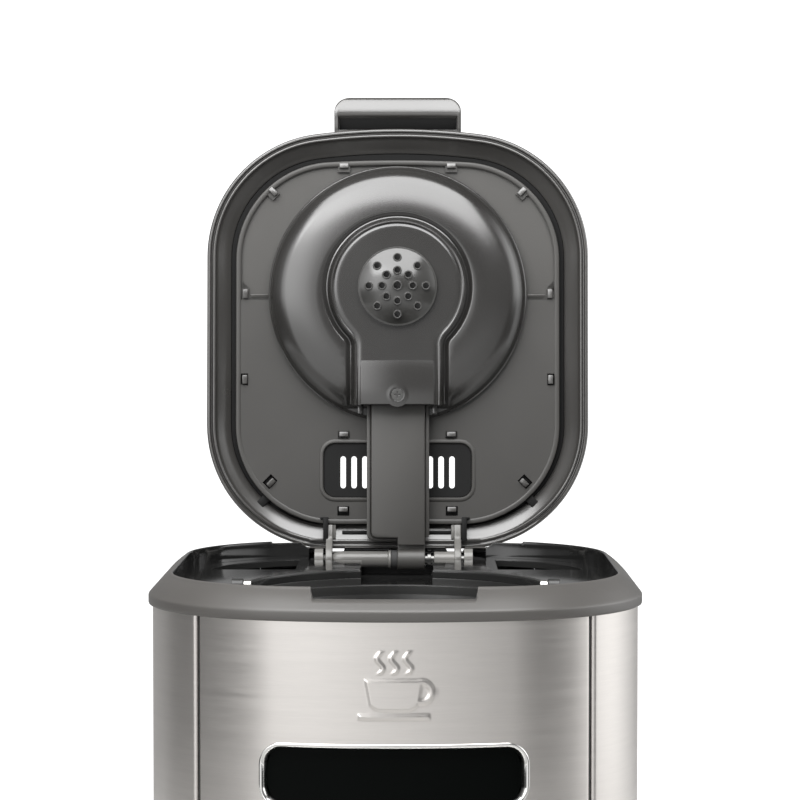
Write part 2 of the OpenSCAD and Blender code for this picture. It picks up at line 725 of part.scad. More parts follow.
module arm_seal() color(c_black) opened() difference() {
    on_pivot(-2.8, -0.1, 4.3);
    on_pivot(-5, 5, 3.05);
}

// ---------- filter basket ----------

// Half outlines of the basket: [radius, height above its rim]
basket_outer = [
    [0, 0], [61.6, 0], [61.6, -1.8], [60.4, -1.8], [60, -6],
    [46, basket_floor - 2 - basket_rim], [0, basket_floor - 2 - basket_rim]
];
basket_inner = [[0, 1], [basket_r, 1], [basket_r, -4], [44.6, basket_floor - basket_rim], [0, basket_floor - basket_rim]];

module filter_basket() color(c_dark) difference() {
    union() {
        translate([0, axis_y, basket_rim]) rotate_extrude() difference() {
            polygon(basket_outer);
            polygon(basket_inner);
        }
        // ribs that keep the filter off the wall
        for (a = [15:30:345]) translate([0, axis_y, 0]) rotate([0, 0, a]) rotate([90, 0, 0])
            translate([0, 0, -0.7]) linear_extrude(1.4) polygon([
                [58.6, basket_rim - 10], [56.4, basket_rim - 10], [43.4, basket_floor + 4],
                [43.4, basket_floor - 1], [45.2, basket_floor - 1]
            ]);
        // ears with the pins that the handle turns on
        for (s = [-1, 1]) translate([s*(ear_x + 2.4), axis_y, 0]) {
            translate([-2.4, -3, rim_h - 17]) cube([4.8, 6, handle_z - rim_h + 17]);
            translate([-2.4, 0, handle_z]) rotate([0, 90, 0]) cylinder(r = 3, h = 4.8);
            translate([s > 0 ? -7 : -2.4, -3, rim_h - 17]) cube([9.4, 6, 3]);
            translate([s > 0 ? -5.5 : 1, 0, handle_z]) rotate([0, 90, 0]) cylinder(r = 1.4, h = 4.5);
        }
        translate([0, axis_y, 226]) cylinder(r = 16, h = 11);
    }
    translate([0, axis_y, 225]) cylinder(r = 13.5, h = 11);
    translate([0, axis_y, 225]) difference() {
        cylinder(r = 6.5, h = 20);
        translate([0, 0, -1]) cylinder(r = 4.2, h = 30);
        for (a = [0, 120, 240]) rotate([0, 0, a]) translate([0, -0.8, -1]) cube([8, 1.6, 30]);
    }
    translate([0, axis_y, 225]) cylinder(r = 2.6, h = 20);
}

module basket_handle() color("silver") translate([0, axis_y, 0]) {
    translate([0, 0, basket_rim + 1.8]) rotate([0, 0, 180]) rotate_extrude(angle = 180) translate([60.2, 0]) circle(1.5);
    for (s = [-1, 1]) difference() {
        union() {
            translate([s*60.2, 0, basket_rim + 1.8]) sphere(1.5);
            translate([s*62.2 - 1.5, -2.2, basket_rim + 0.6]) cube([3, 4.4, handle_z - basket_rim - 0.6]);
            translate([s*62.2 - 1.5, 0, handle_z]) rotate([0, 90, 0]) cylinder(r = 2.5, h = 3);
        }
        translate([s*61 - 4, 0, handle_z]) rotate([0, 90, 0]) cylinder(r = 1.47, h = 8);
    }
}

module drip_valve() color(c_black) translate([0, axis_y, 0]) {
    translate([0, 0, basket_floor + drip_travel + 0.1]) cylinder(r = 9, h = 2.5);
    translate([0, 0, head_b - 1]) cylinder(r = 2.5, h = basket_floor + drip_travel + 1 - head_b + 1);
    translate([0, 0, head_b - 1.7]) cylinder(r = 5, h = 2.2);
}

module valve_spring() color("silver") translate([0, axis_y, 0]) for (i = [0:4])
    translate([0, 0, 223 + i*2.6]) rotate_extrude() translate([3.6, 0]) circle(0.45);

// ---------- carafe ----------

// Half outline of the carafe's outer shell: [radius, height]
shell_outer = [
    [58.5, base_h + 3.2], [61, base_h + 7], [carafe_r, base_h + 14], [carafe_r, 150], [61, 160], [58.6, 169], [54.6, 177],
    [50, 183], [47, 188], [46.4, 194]
];

module carafe_shell() color(c_steel) translate([0, axis_y, 0]) rotate_extrude() polygon(concat(
    shell_outer, [for (i = [len(shell_outer) - 1:-1:0]) [shell_outer[i][0] - 1, shell_outer[i][1]]]
));

module carafe_liner() color(c_steel) translate([0, axis_y, 0]) rotate_extrude() polygon([
    [0, base_h + 8], [50, base_h + 8], [56, base_h + 14], [56, 150], [54, 162], [47, 174], [42.4, 184], [42.4, 196],
    [41.6, 196], [41.6, 183.6], [46.2, 173.6], [53.2, 161.8], [55.2, 150], [55.2, base_h + 14.4], [49.6, base_h + 8.8], [0, base_h + 8.8]
]);

module carafe_base_ring() color(c_dark) translate([0, axis_y, base_h]) difference() {
    union() {
        cylinder(r = 57, h = 3.2);
        translate([0, 0, 3.2]) cylinder(r = 57.4, h = 4);
    }
    translate([0, 0, -1]) cylinder(r = 48, h = 2.2);
    translate([0, 0, 4]) cylinder(r = 54, h = 8);
}

module carafe_neck_ring() color(c_dark) translate([0, axis_y, 0]) difference() {
    union() {
        translate([0, 0, 188]) cylinder(r = 48.6, h = 16);
        // pouring lip at the back
        translate([0, 0, 196]) linear_extrude(8) polygon([[-14, 40], [-5, 55], [5, 55], [14, 40]]);
    }
    translate([0, 0, 180]) cylinder(r = 47.1, h = 14.1);
    translate([0, 0, 180]) cylinder(r = 42.6, h = 30);
    translate([0, 0, 198]) linear_extrude(8) polygon([[-10, 38], [-3.4, 52.5], [3.4, 52.5], [10, 38]]);
}

// Side outline of the handle: a bowed grip held at the neck and near the foot
module carafe_handle() color(c_dark) translate([-11, axis_y, 0]) rotate([90, 0, 90]) linear_extrude(22) difference() {
    union() {
        polygon([[-48.4, 190], [-48.4, 203], [-92, 203], [-92, 190]]);
        translate([-92, 191]) circle(12);
        polygon([[-104, 191], [-101, 96], [-88, 96], [-90, 191]]);
        translate([-94.5, 96]) circle(6.5);
        polygon([[-94.5, 89.5], [-62.2, 86], [-62.2, 104], [-88, 103]]);
    }
    polygon([[-62.2, 104], [-62.2, 175], [-52, 189], [-82, 189], [-90, 181], [-88, 110], [-84, 105]]);
    translate([0, 0]) polygon([[-62.1, 60], [-62.1, 160], [-61, 160], [-58.6, 169], [-54.6, 177], [-50, 183], [-48.7, 188], [-48.7, 210], [0, 210], [0, 60]]);
}

module carafe_lid() color(c_dark) translate([0, axis_y, 0]) difference() {
    union() {
        translate([0, 0, 204]) cylinder(r = 47.5, h = 5);
        translate([0, 0, 209]) cylinder(r1 = 47.5, r2 = 40, h = 6);
        translate([0, 0, 215]) cylinder(r1 = 40, r2 = 12, h = 2.4);
        translate([0, 0, 190]) cylinder(r = 41.2, h = 15);
    }
    translate([0, 0, 188]) cylinder(r = 38, h = 20);
    translate([0, 0, 200]) cylinder(r = 4, h = 20);
    // slot for the lever
    translate([-9.3, -60, 208.4]) cube([18.6, 42, 12]);
    translate([-13, -36, 212]) rotate([0, 90, 0]) cylinder(r = 1.5, h = 26);
}

module pour_lever() color(c_grey) translate([0, axis_y, 0]) difference() {
    union() {
        translate([-9, -60, 212.2]) cube([18, 40, 3.6]);
        translate([0, -60, 212.2]) cylinder(r = 9, h = 3.6);
        translate([-9, -36, 212]) rotate([0, 90, 0]) cylinder(r = 3, h = 18);
    }
    translate([-15, -36, 212]) rotate([0, 90, 0]) cylinder(r = 1.55, h = 30);
}

module lever_pin() color("silver") translate([-13, axis_y - 36, 212]) rotate([0, 90, 0]) cylinder(r = 1.5, h = 26);

// ---------- assembly ----------

plinth_tray();
rubber_feet();
base_screws();
base_housing();
base_front_panel();
carafe_pad();
bay_liner();
side_panel(-1);  // side_panel_left
side_panel(1);  // side_panel_right
front_panel();
window_bezel();
display_glass();
display_module();
control_board();
button(button_x[0]);  // button_power
button(button_x[1]);  // button_strength
button(button_x[2]);  // button_timer
button(button_x[3]);  // button_start
head_frame();
head_floor();
brew_well();
brew_deck();
top_collar();
rear_cover();
level_window();
water_tank();
check_valve();
cold_hose();
boiler_tube();
boiler_clamps();
thermostats();
power_board();
cable_gland();
riser_pipe();
hinge_barrel();
hinge_brackets();
hinge_pin();
lid_shell();
lid_inner_panel();
lid_vent_grille();
lid_hinge_arms();
arm_channel();
arm_cover();
spray_disc();
spray_head();
arm_screw();
arm_seal();
filter_basket();
basket_handle();
drip_valve();
valve_spring();
carafe_shell();
carafe_liner();
carafe_base_ring();
carafe_neck_ring();
carafe_handle();
carafe_lid();
pour_lever();
lever_pin();
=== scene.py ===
import json
import math

import bmesh
import bpy
import numpy as np
from mathutils import Matrix, Vector


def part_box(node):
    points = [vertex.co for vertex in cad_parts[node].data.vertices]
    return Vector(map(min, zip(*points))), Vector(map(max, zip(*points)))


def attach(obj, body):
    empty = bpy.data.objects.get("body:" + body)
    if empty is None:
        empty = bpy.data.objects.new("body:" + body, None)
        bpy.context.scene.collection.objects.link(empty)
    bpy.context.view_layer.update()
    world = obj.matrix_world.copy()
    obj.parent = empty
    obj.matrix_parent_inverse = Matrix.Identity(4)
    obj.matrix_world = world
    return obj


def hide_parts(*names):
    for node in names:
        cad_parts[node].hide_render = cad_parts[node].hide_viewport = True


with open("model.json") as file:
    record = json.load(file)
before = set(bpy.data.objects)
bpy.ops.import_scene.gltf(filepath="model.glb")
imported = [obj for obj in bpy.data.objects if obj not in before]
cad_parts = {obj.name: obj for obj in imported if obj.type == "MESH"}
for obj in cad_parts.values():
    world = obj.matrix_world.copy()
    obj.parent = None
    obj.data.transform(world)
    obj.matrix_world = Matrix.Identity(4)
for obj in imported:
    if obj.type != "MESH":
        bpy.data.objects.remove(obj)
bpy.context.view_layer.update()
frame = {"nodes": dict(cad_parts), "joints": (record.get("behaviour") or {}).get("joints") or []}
joints = {j["name"]: j for j in frame["joints"]}

# ---------------------------------------------------------------- sizes, in millimetres
PIVOT_Y, PIVOT_Z = (v * 1000 for v in joints["lid_hinge"]["pos_m"][1:])
AXIS_Y = joints["bail_hinge"]["pos_m"][1] * 1000
DISC_Y, HEAD_Y, SCREW_Y, VENT_Y = (PIVOT_Y - v for v in (123.8, 126.4, 76.3, 41.4))
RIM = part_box("top_collar")[1].z * 1000
OPEN = (Matrix.Translation((0, PIVOT_Y, PIVOT_Z)) @ Matrix.Rotation(math.radians(-94), 4, "X")
        @ Matrix.Translation((0, -PIVOT_Y, -PIVOT_Z)))
BODY = (100.0, -112.5, 112.5, 70.0, 200.0)          # half width, front, back, corner radius, bow radius
LID = (89.2, PIVOT_Y - 201.6, PIVOT_Y - 4.8, 58.0, 300.0)
PANEL = (75.8, PIVOT_Y - 187.1, PIVOT_Y - 16.2, 46.0, 600.0)
SEAM = 43.3                                          # angle of the front seams round the corner, in degrees
SHEET_TOP, FRONT_LOW = 332.5, 219.6                  # heights of the steel front's edges
BASE_LOW, BASE_TOP = 16.05, 55.9                     # and of the base's steel
SHEET_T = 0.0009                                     # in metres
WINDOW_Z, WINDOW_H = RIM - 73, 26.0
KEYS_Z, KEYS_X = 232.5, (-39.25, -13.01, 13.01, 39.25)
LID_OUT, LID_IN = 348.3, 345.7                       # heights of the lid's faces when it is shut
PANEL_LOW, PANEL_TOP = 341.8, 343.3                  # and of its lining's
NECK_TOP = 203.9                                     # top of the carafe's neck ring
# distances from the middle at which an outline has points, closer together where the collar's crest steps
FRONT_X = [0, 6, 12, 18, 24, 28, 30, 31, 31.6, 32.0, 32.4, 32.8, 33.2, 33.6, 34.2, 35, 36.4, 38]
BACK_X = [0, 6, 12, 18, 22.2, 22.8, 23.4, 24.6, 25.2, 28, 30.4, 31.0, 31.6, 33, 36, 39, 40.4, 40.95, 41.05,
          41.6, 45, 50, 55, 57, 57.8, 58.2, 58.6, 59.2, 60.5, 64]


def lerp(a, b, t):
    return a + (b - a) * t


def smoothstep(a, b, x):
    t = min(1.0, max(0.0, (x - a) / (b - a)))
    return t * t * (3 - 2 * t)


def corner_of(shape):
    """Centre of an outline's round corners (x, front y, back y), how far the bow's centre lies behind the
    front one, and the angle at which the bow meets the corner."""
    half, front, back, r, bow = shape
    cx = half - r
    run = math.sqrt((bow - r) ** 2 - cx * cx)
    return cx, front + bow - run, back - r, run, math.atan2(cx, run)


def outline(shape, k=0.0, n_front=26, n_side=8, n_back=16):
    """Points of a bowed round-cornered outline, grown by k, anticlockwise from the middle of the front."""
    cx, yf, yb, run, tangent = corner_of(shape)
    corner, bow = shape[3] + k, shape[4] + k
    bow_end = bow * math.sin(tangent)
    right = []
    for x in FRONT_X:
        if x <= bow_end:
            right.append((x, yf + run - math.sqrt(bow * bow - x * x)))
        else:
            right.append((x, yf - math.sqrt(corner * corner - (x - cx) ** 2)))
    x0 = FRONT_X[-1]
    if x0 <= bow_end:
        a0 = math.asin(x0 / bow)
        bow_len, c0 = bow * (tangent - a0), tangent
    else:
        a0, bow_len, c0 = 0, 0, math.asin((x0 - cx) / corner)
    corner_len = corner * (math.pi / 2 - c0)
    for i in range(1, n_front + 1):
        d = (bow_len + corner_len) * i / n_front
        if d < bow_len:
            a = a0 + d / bow
            right.append((bow * math.sin(a), yf + run - bow * math.cos(a)))
        else:
            a = c0 + (d - bow_len) / corner
            right.append((cx + corner * math.sin(a), yf - corner * math.cos(a)))
    for i in range(1, n_side):
        right.append((cx + corner, lerp(yf, yb, i / n_side)))
    a1 = math.acos((BACK_X[-1] - cx) / corner)
    for i in range(n_back):
        a = a1 * i / n_back
        right.append((cx + corner * math.cos(a), yb + corner * math.sin(a)))
    for x in reversed(BACK_X):
        rise = corner if x <= cx else math.sqrt(corner * corner - (x - cx) ** 2)
        right.append((x, yb + rise))
    return right + [(-x, y) for x, y in reversed(right[1:-1])]


def rounded(w, h, r, n=8, at=(0, 0)):
    """Points of a rounded rectangle, anticlockwise."""
    out = []
    for right, up, start in ((1, -1, -90), (1, 1, 0), (-1, 1, 90), (-1, -1, 180)):
        x, y = at[0] + right * (w / 2 - r), at[1] + up * (h / 2 - r)
        for i in range(n + 1):
            t = math.radians(start + 90 * i / n)
            out.append((x + r * math.cos(t), y + r * math.sin(t)))
    return out


def fillet(points, radii, n=5):
    """Rounds the inner corners of an open line of (a, b) points."""
    out = [points[0]]
    for i in range(1, len(points) - 1):
        p, a, b = (Vector(q) for q in (points[i], points[i - 1], points[i + 1]))
        r = radii[i - 1] if isinstance(radii, (list, tuple)) else radii
        u, v = (a - p), (b - p)
        r = min(r, u.length * 0.49, v.length * 0.49)
        if r <= 0:
            out.append(tuple(p))
            continue
        u, v = p + u.normalized() * r, p + v.normalized() * r
        for j in range(n + 1):
            t = j / n
            out.append(tuple(u * (1 - t) ** 2 + p * 2 * t * (1 - t) + v * t * t))
    return out + [points[-1]]


class Build:
    """Collects surfaces in millimetres and turns them into one riding object."""

    def __init__(self, bm=None):
        self.bm = bm or bmesh.new()

    def verts(self, points):
        return [self.bm.verts.new(p) for p in points]

    def face(self, vs, mat=0):
        if len(set(vs)) > 2:
            try:
                self.bm.faces.new(vs).material_index = mat
            except ValueError:
                return                               # the same face is there already

    def band(self, rows, closed, loop, mat):
        """Faces between each row of vertices and the next."""
        for a, b in list(zip(rows, rows[1:])) + ([(rows[-1], rows[0])] if loop else []):
            for i in range(len(a) if closed else len(a) - 1):
                j = (i + 1) % len(a)
                self.face(list(dict.fromkeys((a[i], a[j], b[j], b[i]))), mat)

    def loft(self, rings, closed=True, cap0=False, cap1=False, mat=0):
        """Joins rings of points, each a list of (x, y, z)."""
        rows = [self.verts(r) for r in rings]
        self.band(rows, closed, False, mat)
        if cap0:
            self.face(list(reversed(rows[0])), mat)
        if cap1:
            self.face(rows[-1], mat)

    def lathe(self, profile, at=(0, 0), n=96, a0=0.0, a1=360.0, mat=0, axis="Z", loop=False):
        """Turns (radius, height) points round a line: the Z axis at (x, y), or the X axis at (y, z)."""
        full = a1 - a0 >= 359.9
        angles = [math.radians(lerp(a0, a1, i / n)) for i in range(n if full else n + 1)]
        rows = []
        for r, h in profile:
            circle = [(at[0] + r * math.cos(a), at[1] + r * math.sin(a)) for a in angles]
            points = [(p, q, h) if axis == "Z" else (h, p, q) for p, q in circle]
            if r < 1e-6:
                rows.append(self.verts(points[:1]) * len(points))
            else:
                rows.append(self.verts(points))
        self.band(rows, full, loop, mat)

    def fill(self, loops, z, mat=0):
        """Fills a flat face at height z bounded by loops of (x, y); inner loops are holes."""
        edges = []
        for loop in loops:
            vs = self.verts([(x, y, z) for x, y in loop])
            edges += [self.bm.edges.new((vs[i], vs[(i + 1) % len(vs)])) for i in range(len(vs))]
        done = bmesh.ops.triangle_fill(self.bm, use_beauty=True, use_dissolve=False, edges=edges)
        for g in done["geom"]:
            if isinstance(g, bmesh.types.BMFace):
                g.material_index = mat

    def prism(self, points, lo, hi, bevel=0.6, axis="Z", segments=2, mat=0, M=None):
        """A prism with rounded edges, over a polygon of (x, y) along Z or of (y, z) along X."""
        bm = bmesh.new()
        a, b = ([bm.verts.new((h, *p) if axis == "X" else (*p, h)) for p in points] for h in (lo, hi))
        bm.faces.new(a)
        bm.faces.new(b)
        for i in range(len(a)):
            j = (i + 1) % len(a)
            bm.faces.new((a[i], a[j], b[j], b[i]))
        bmesh.ops.recalc_face_normals(bm, faces=bm.faces)
        sharp = [e for e in bm.edges if e.calc_face_angle(0) > math.radians(25)]
        bmesh.ops.bevel(bm, geom=sharp, offset=bevel, segments=segments, profile=0.5, affect="EDGES",
                        clamp_overlap=True)
        self.take(bm, mat, M)

    def box(self, lo, hi, bevel=0.5, mat=0, M=None):
        corners = [(lo[0], lo[1]), (hi[0], lo[1]), (hi[0], hi[1]), (lo[0], hi[1])]
        self.prism(corners, lo[2], hi[2], bevel, mat=mat, M=M)

    def take(self, other, mat=0, M=None):
        """Adds another bmesh, moved by M, and frees it."""
        M = M or Matrix.Identity(4)
        new = {v: self.bm.verts.new(M @ v.co) for v in other.verts}
        for f in other.faces:
            self.face([new[v] for v in f.verts], mat)
        other.free()

    def make(self, name, body, materials, replaces=(), M=None, sharp=38, weld=0.002):
        bm = self.bm
        if weld:
            bmesh.ops.remove_doubles(bm, verts=bm.verts, dist=weld)
        bmesh.ops.recalc_face_normals(bm, faces=bm.faces)
        for e in bm.edges:
            e.smooth = len(e.link_faces) == 2 and e.calc_face_angle(0) < math.radians(sharp)
        for f in bm.faces:
            f.smooth = True
        bmesh.ops.transform(bm, matrix=Matrix.Scale(0.001, 4) @ (M or Matrix.Identity(4)), verts=bm.verts)
        mesh = bpy.data.meshes.new(name)
        bm.to_mesh(mesh)
        bm.free()
        ob = bpy.data.objects.new(name, mesh)
        bpy.context.scene.collection.objects.link(ob)
        for m in materials if isinstance(materials, (list, tuple)) else [materials]:
            mesh.materials.append(m)
        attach(ob, body)
        if replaces:
            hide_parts(*replaces)
        return ob


# ---------------------------------------------------------------- materials

NOISE_SPAN = (0.25, 0.75)                            # where most of a noise texture's values lie


def nodes_of(name):
    m = bpy.data.materials.new(name)
    m.use_nodes = True
    return m, m.node_tree, m.node_tree.nodes["Principled BSDF"]


def feed(t, v, socket):
    """Gives a socket a fixed value, or links another node's output to it."""
    if isinstance(v, bpy.types.NodeSocket):
        t.links.new(v, socket)
    else:
        socket.default_value = v


def noise(t, coords, scale, detail=3.0, rough=0.55, stretch=None):
    n = t.nodes.new("ShaderNodeTexNoise")
    n.inputs["Scale"].default_value = scale
    n.inputs["Detail"].default_value = detail
    n.inputs["Roughness"].default_value = rough
    if stretch:
        mapping = t.nodes.new("ShaderNodeMapping")
        mapping.inputs["Scale"].default_value = stretch
        t.links.new(coords, mapping.inputs["Vector"])
        coords = mapping.outputs["Vector"]
    t.links.new(coords, n.inputs["Vector"])
    return n.outputs["Fac"]


def map_range(t, value, source, target, smooth=False):
    """Maps a value from the range source to the range target."""
    n = t.nodes.new("ShaderNodeMapRange")
    if smooth:
        n.interpolation_type = "SMOOTHSTEP"
    n.inputs["From Min"].default_value, n.inputs["From Max"].default_value = source
    n.inputs["To Min"].default_value, n.inputs["To Max"].default_value = target
    t.links.new(value, n.inputs["Value"])
    return n.outputs["Result"]


def ramp(t, value, lo, hi):
    """Maps a noise value to the range lo to hi."""
    return map_range(t, value, NOISE_SPAN, (lo, hi))


def arithmetic(t, operation, a, b):
    """One step of arithmetic; a and b are numbers or other nodes' outputs."""
    n = t.nodes.new("ShaderNodeMath")
    n.operation = operation
    feed(t, a, n.inputs[0])
    feed(t, b, n.inputs[1])
    return n.outputs[0]


def blend(t, factor, a, b, kind="RGBA"):
    """Mixes two colours, or two numbers if kind is FLOAT."""
    n = t.nodes.new("ShaderNodeMix")
    n.data_type = kind
    for key, v in (("Factor", factor), ("A", a), ("B", b)):
        feed(t, v, n.inputs[key])
    return n.outputs["Result"]


def shades(t, value, base, dark, light):
    """The base colour times dark where the value is low, and times light where it is high."""
    low, high = ((*[min(1, c * k) for c in base], 1) for k in (dark, light))
    return blend(t, value, low, high)


def bump(t, height, strength, distance, edge=0.0):
    """Small relief, over edges that look rounded by a radius in metres."""
    n = t.nodes.new("ShaderNodeBump")
    n.inputs["Strength"].default_value, n.inputs["Distance"].default_value = strength, distance
    t.links.new(height, n.inputs["Height"])
    if edge:
        soft = t.nodes.new("ShaderNodeBevel")
        soft.samples = 4
        soft.inputs["Radius"].default_value = edge
        t.links.new(soft.outputs["Normal"], n.inputs["Normal"])
    return n.outputs["Normal"]


def plastic(name, base, rough, grain=0.1, edge=0.0, coat=0.0, specular=0.5, wear_and_highlight=0.12, scale=1400):
    """Moulded plastic, a little lighter along its edges: partly wear, partly a painted edge highlight."""
    m, t, p = nodes_of(name)
    co = t.nodes.new("ShaderNodeTexCoord").outputs["Object"]
    cloud = noise(t, co, 22, 4)
    fine = noise(t, co, scale, 2)
    # pointiness lightens convex edges: wear together with a painted edge highlight
    wear_and_edge_highlight = map_range(t, t.nodes.new("ShaderNodeNewGeometry").outputs["Pointiness"], (0.5, 0.62), (0, 1))
    body = shades(t, ramp(t, cloud, 0, 1), base, 0.93, 1.07)
    pale = [min(1, c * (1 + 4 * wear_and_highlight) + 0.02 * wear_and_highlight) for c in base]
    t.links.new(blend(t, wear_and_edge_highlight, body, (*pale, 1)), p.inputs["Base Color"])
    t.links.new(ramp(t, cloud, rough * 0.9, rough * 1.12), p.inputs["Roughness"])
    t.links.new(bump(t, fine, grain, 0.00008, edge), p.inputs["Normal"])
    p.inputs["Specular IOR Level"].default_value = specular
    p.inputs["Coat Weight"].default_value = coat
    p.inputs["Coat Roughness"].default_value = 0.06
    return m


def metal(name, base, rough, streak=None, bumps=0.2, edge=0.0, aniso=0.0):
    """Metal; streak stretches the grain, so that it runs along the axis with the smallest number."""
    m, t, p = nodes_of(name)
    co = t.nodes.new("ShaderNodeTexCoord").outputs["Object"]
    cloud = noise(t, co, 9, 3, 0.5)
    grain = noise(t, co, 1.0, 5, 0.7, streak or (900, 900, 900))
    coarse = noise(t, co, 1.0, 3, 0.6, tuple(s * 0.22 for s in streak) if streak else (60, 60, 60))
    mean = arithmetic(t, "MULTIPLY", arithmetic(t, "ADD", grain, coarse), 0.5)
    t.links.new(shades(t, ramp(t, mean, 0, 1), base, 0.94, 1.05), p.inputs["Base Color"])
    spread = arithmetic(t, "MULTIPLY", ramp(t, mean, rough * 0.9, rough * 1.12), ramp(t, cloud, 0.93, 1.08))
    t.links.new(spread, p.inputs["Roughness"])
    t.links.new(bump(t, mean, bumps, 0.00004, edge), p.inputs["Normal"])
    p.inputs["Metallic"].default_value = 1.0
    if aniso:
        around_z = t.nodes.new("ShaderNodeTangent")
        around_z.direction_type, around_z.axis = "RADIAL", "Z"
        p.inputs["Anisotropic"].default_value = aniso
        t.links.new(around_z.outputs["Tangent"], p.inputs["Tangent"])
    return m


def glassy(name, base, rough=0.04):
    """Black glass, slightly smeared."""
    m, t, p = nodes_of(name)
    co = t.nodes.new("ShaderNodeTexCoord").outputs["Object"]
    smear = noise(t, co, 14, 4)
    t.links.new(shades(t, ramp(t, smear, 0, 1), base, 0.9, 1.1), p.inputs["Base Color"])
    t.links.new(ramp(t, smear, rough, rough * 2.2), p.inputs["Roughness"])
    t.links.new(bump(t, noise(t, co, 60, 2), 0.01, 0.0002), p.inputs["Normal"])
    p.inputs["Specular IOR Level"].default_value = 0.03
    return m


def clear(name, base, alpha):
    """Smoky transparent plastic."""
    m, t, p = nodes_of(name)
    co = t.nodes.new("ShaderNodeTexCoord").outputs["Object"]
    cloud = noise(t, co, 30, 3)
    t.links.new(shades(t, cloud, base, 0.92, 1), p.inputs["Base Color"])
    t.links.new(ramp(t, cloud, 0.08, 0.2), p.inputs["Roughness"])
    t.links.new(bump(t, noise(t, co, 500, 2), 0.03, 0.0001, 0.0006), p.inputs["Normal"])
    p.inputs["Alpha"].default_value = alpha
    return m


M_LID = plastic("satin_grey", (0.032, 0.0305, 0.0285), 0.3, 0.04, specular=1.2)
M_DISC = plastic("spray_grey", (0.017, 0.0162, 0.0152), 0.23, 0.03, specular=1.0)
M_HEAD = plastic("spray_grey_moulded", (0.03, 0.0295, 0.028), 0.2, 0.03, edge=0.0004, specular=0.8)
M_COLLAR = plastic("collar_grey", (0.068, 0.0645, 0.0605), 0.4, 0.08)
M_PANEL = plastic("lid_panel_grey", (0.04, 0.0385, 0.036), 0.45, 0.12, scale=2200)
M_GLOSS = plastic("gloss_grey", (0.11, 0.107, 0.101), 0.22, 0.02, edge=0.0004)
M_DECK = plastic("deck_gloss", (0.01, 0.01, 0.0098), 0.09, 0.01, edge=0.0005, coat=0.25, specular=0.5)
# shadow_black is painted shade: near-black plastic set where recesses fall into shadow (the vent grille, the
# lid's groove, the hook pockets, the handle's crease, blocks by the hinge)
M_PAINTED_SHADE = plastic("shadow_black", (0.006, 0.006, 0.006), 0.5, 0.1, specular=0.15)
M_BLACK = plastic("black_satin", (0.016, 0.016, 0.0155), 0.34, 0.1, edge=0.0006)
M_BLACK_FINE = plastic("black_moulded", (0.018, 0.018, 0.0175), 0.3, 0.1)
M_RUBBER = plastic("rubber_black", (0.012, 0.012, 0.012), 0.7, 0.35, edge=0.0005, specular=0.3, wear_and_highlight=0.3)
M_STEEL = metal("steel_brushed", (0.64, 0.615, 0.59), 0.31, (110, 110, 2300), 0.1, aniso=0.3)
M_STEEL_TURNED = metal("steel_spun", (0.6, 0.59, 0.57), 0.27, (40, 40, 2300), 0.12, aniso=0.4)
M_STEEL_PLAIN = metal("steel_plain", (0.6, 0.59, 0.57), 0.3, None, 0.12, edge=0.0004)
M_DARK_METAL = metal("screw_dark", (0.16, 0.16, 0.155), 0.3, None, 0.1, edge=0.0002)
M_CHROME_FINE = metal("chrome_trim", (0.76, 0.755, 0.74), 0.1, None, 0.02)
M_GLASS = glassy("window_black", (0.0015, 0.002, 0.0018), 0.12)
M_CLEAR = clear("clear_smoke", (0.55, 0.6, 0.62), 0.42)
M_BOARD = plastic("board_green", (0.02, 0.09, 0.045), 0.4, 0.2, edge=0.0003)
M_WHITE = plastic("white_moulded", (0.72, 0.71, 0.68), 0.35, 0.1, edge=0.0005)

for names, m in (
    (("plinth_tray", "base_housing", "bay_liner", "head_frame", "head_floor", "brew_well", "rear_cover",
      "filter_basket", "carafe_base_ring", "cable_gland", "display_module"), M_BLACK),
    (("rubber_feet", "arm_seal", "drip_valve", "cold_hose", "carafe_pad"), M_RUBBER),
    (("brew_deck",), M_DECK),
    (("spray_head",), M_HEAD),
    # the vent grille is painted shade, near-black for its shadowed recess
    (("lid_vent_grille",), M_PAINTED_SHADE),
    (("base_screws", "boiler_tube", "thermostats", "boiler_clamps", "carafe_liner"), M_STEEL_PLAIN),
    (("button_power", "button_strength", "button_timer", "button_start"), M_STEEL_PLAIN),
    (("valve_spring", "lever_pin", "basket_handle"), M_STEEL_PLAIN),
    (("arm_screw", "hinge_pin"), M_DARK_METAL),
    (("level_window", "water_tank"), M_CLEAR),
    (("control_board", "power_board"), M_BOARD),
    (("riser_pipe", "check_valve"), M_WHITE),
    (("hinge_brackets",), M_GLOSS),
):
    for node in names:
        me = frame["nodes"][node].data
        me.materials.clear()
        me.materials.append(m)

# ---------------------------------------------------------------- collar

CREST_SOFT = 0.5                                     # half the height over which the crest is cut round


def collar_height(x, y, z):
    """Lowers the collar's crest into the handle's notch in front and the lid's recess behind."""
    ax = abs(x)
    top = 400
    if y < 0:
        top = 340.2 + 9 * smoothstep(31.7, 33.7, ax)
    elif y > 60:
        arms = (smoothstep(22.2, 23.4, x) * smoothstep(31.6, 30.4, x)
                + smoothstep(-24.6, -25.2, x) * smoothstep(-31.6, -31.0, x))
        top = 341.3 - 2.3 * arms + 2.7 * smoothstep(41.4, 43, ax) + 5 * smoothstep(57.6, 59.6, ax)
    over = z - top
    if over > CREST_SOFT:
        return top - 0.12 * math.exp(-over)
    if over > -CREST_SOFT:
        s = (over + CREST_SOFT) / (2 * CREST_SOFT)
        return lerp(z, top, s * s * 0.5 + s * 0.5) if s < 1 else top
    return z


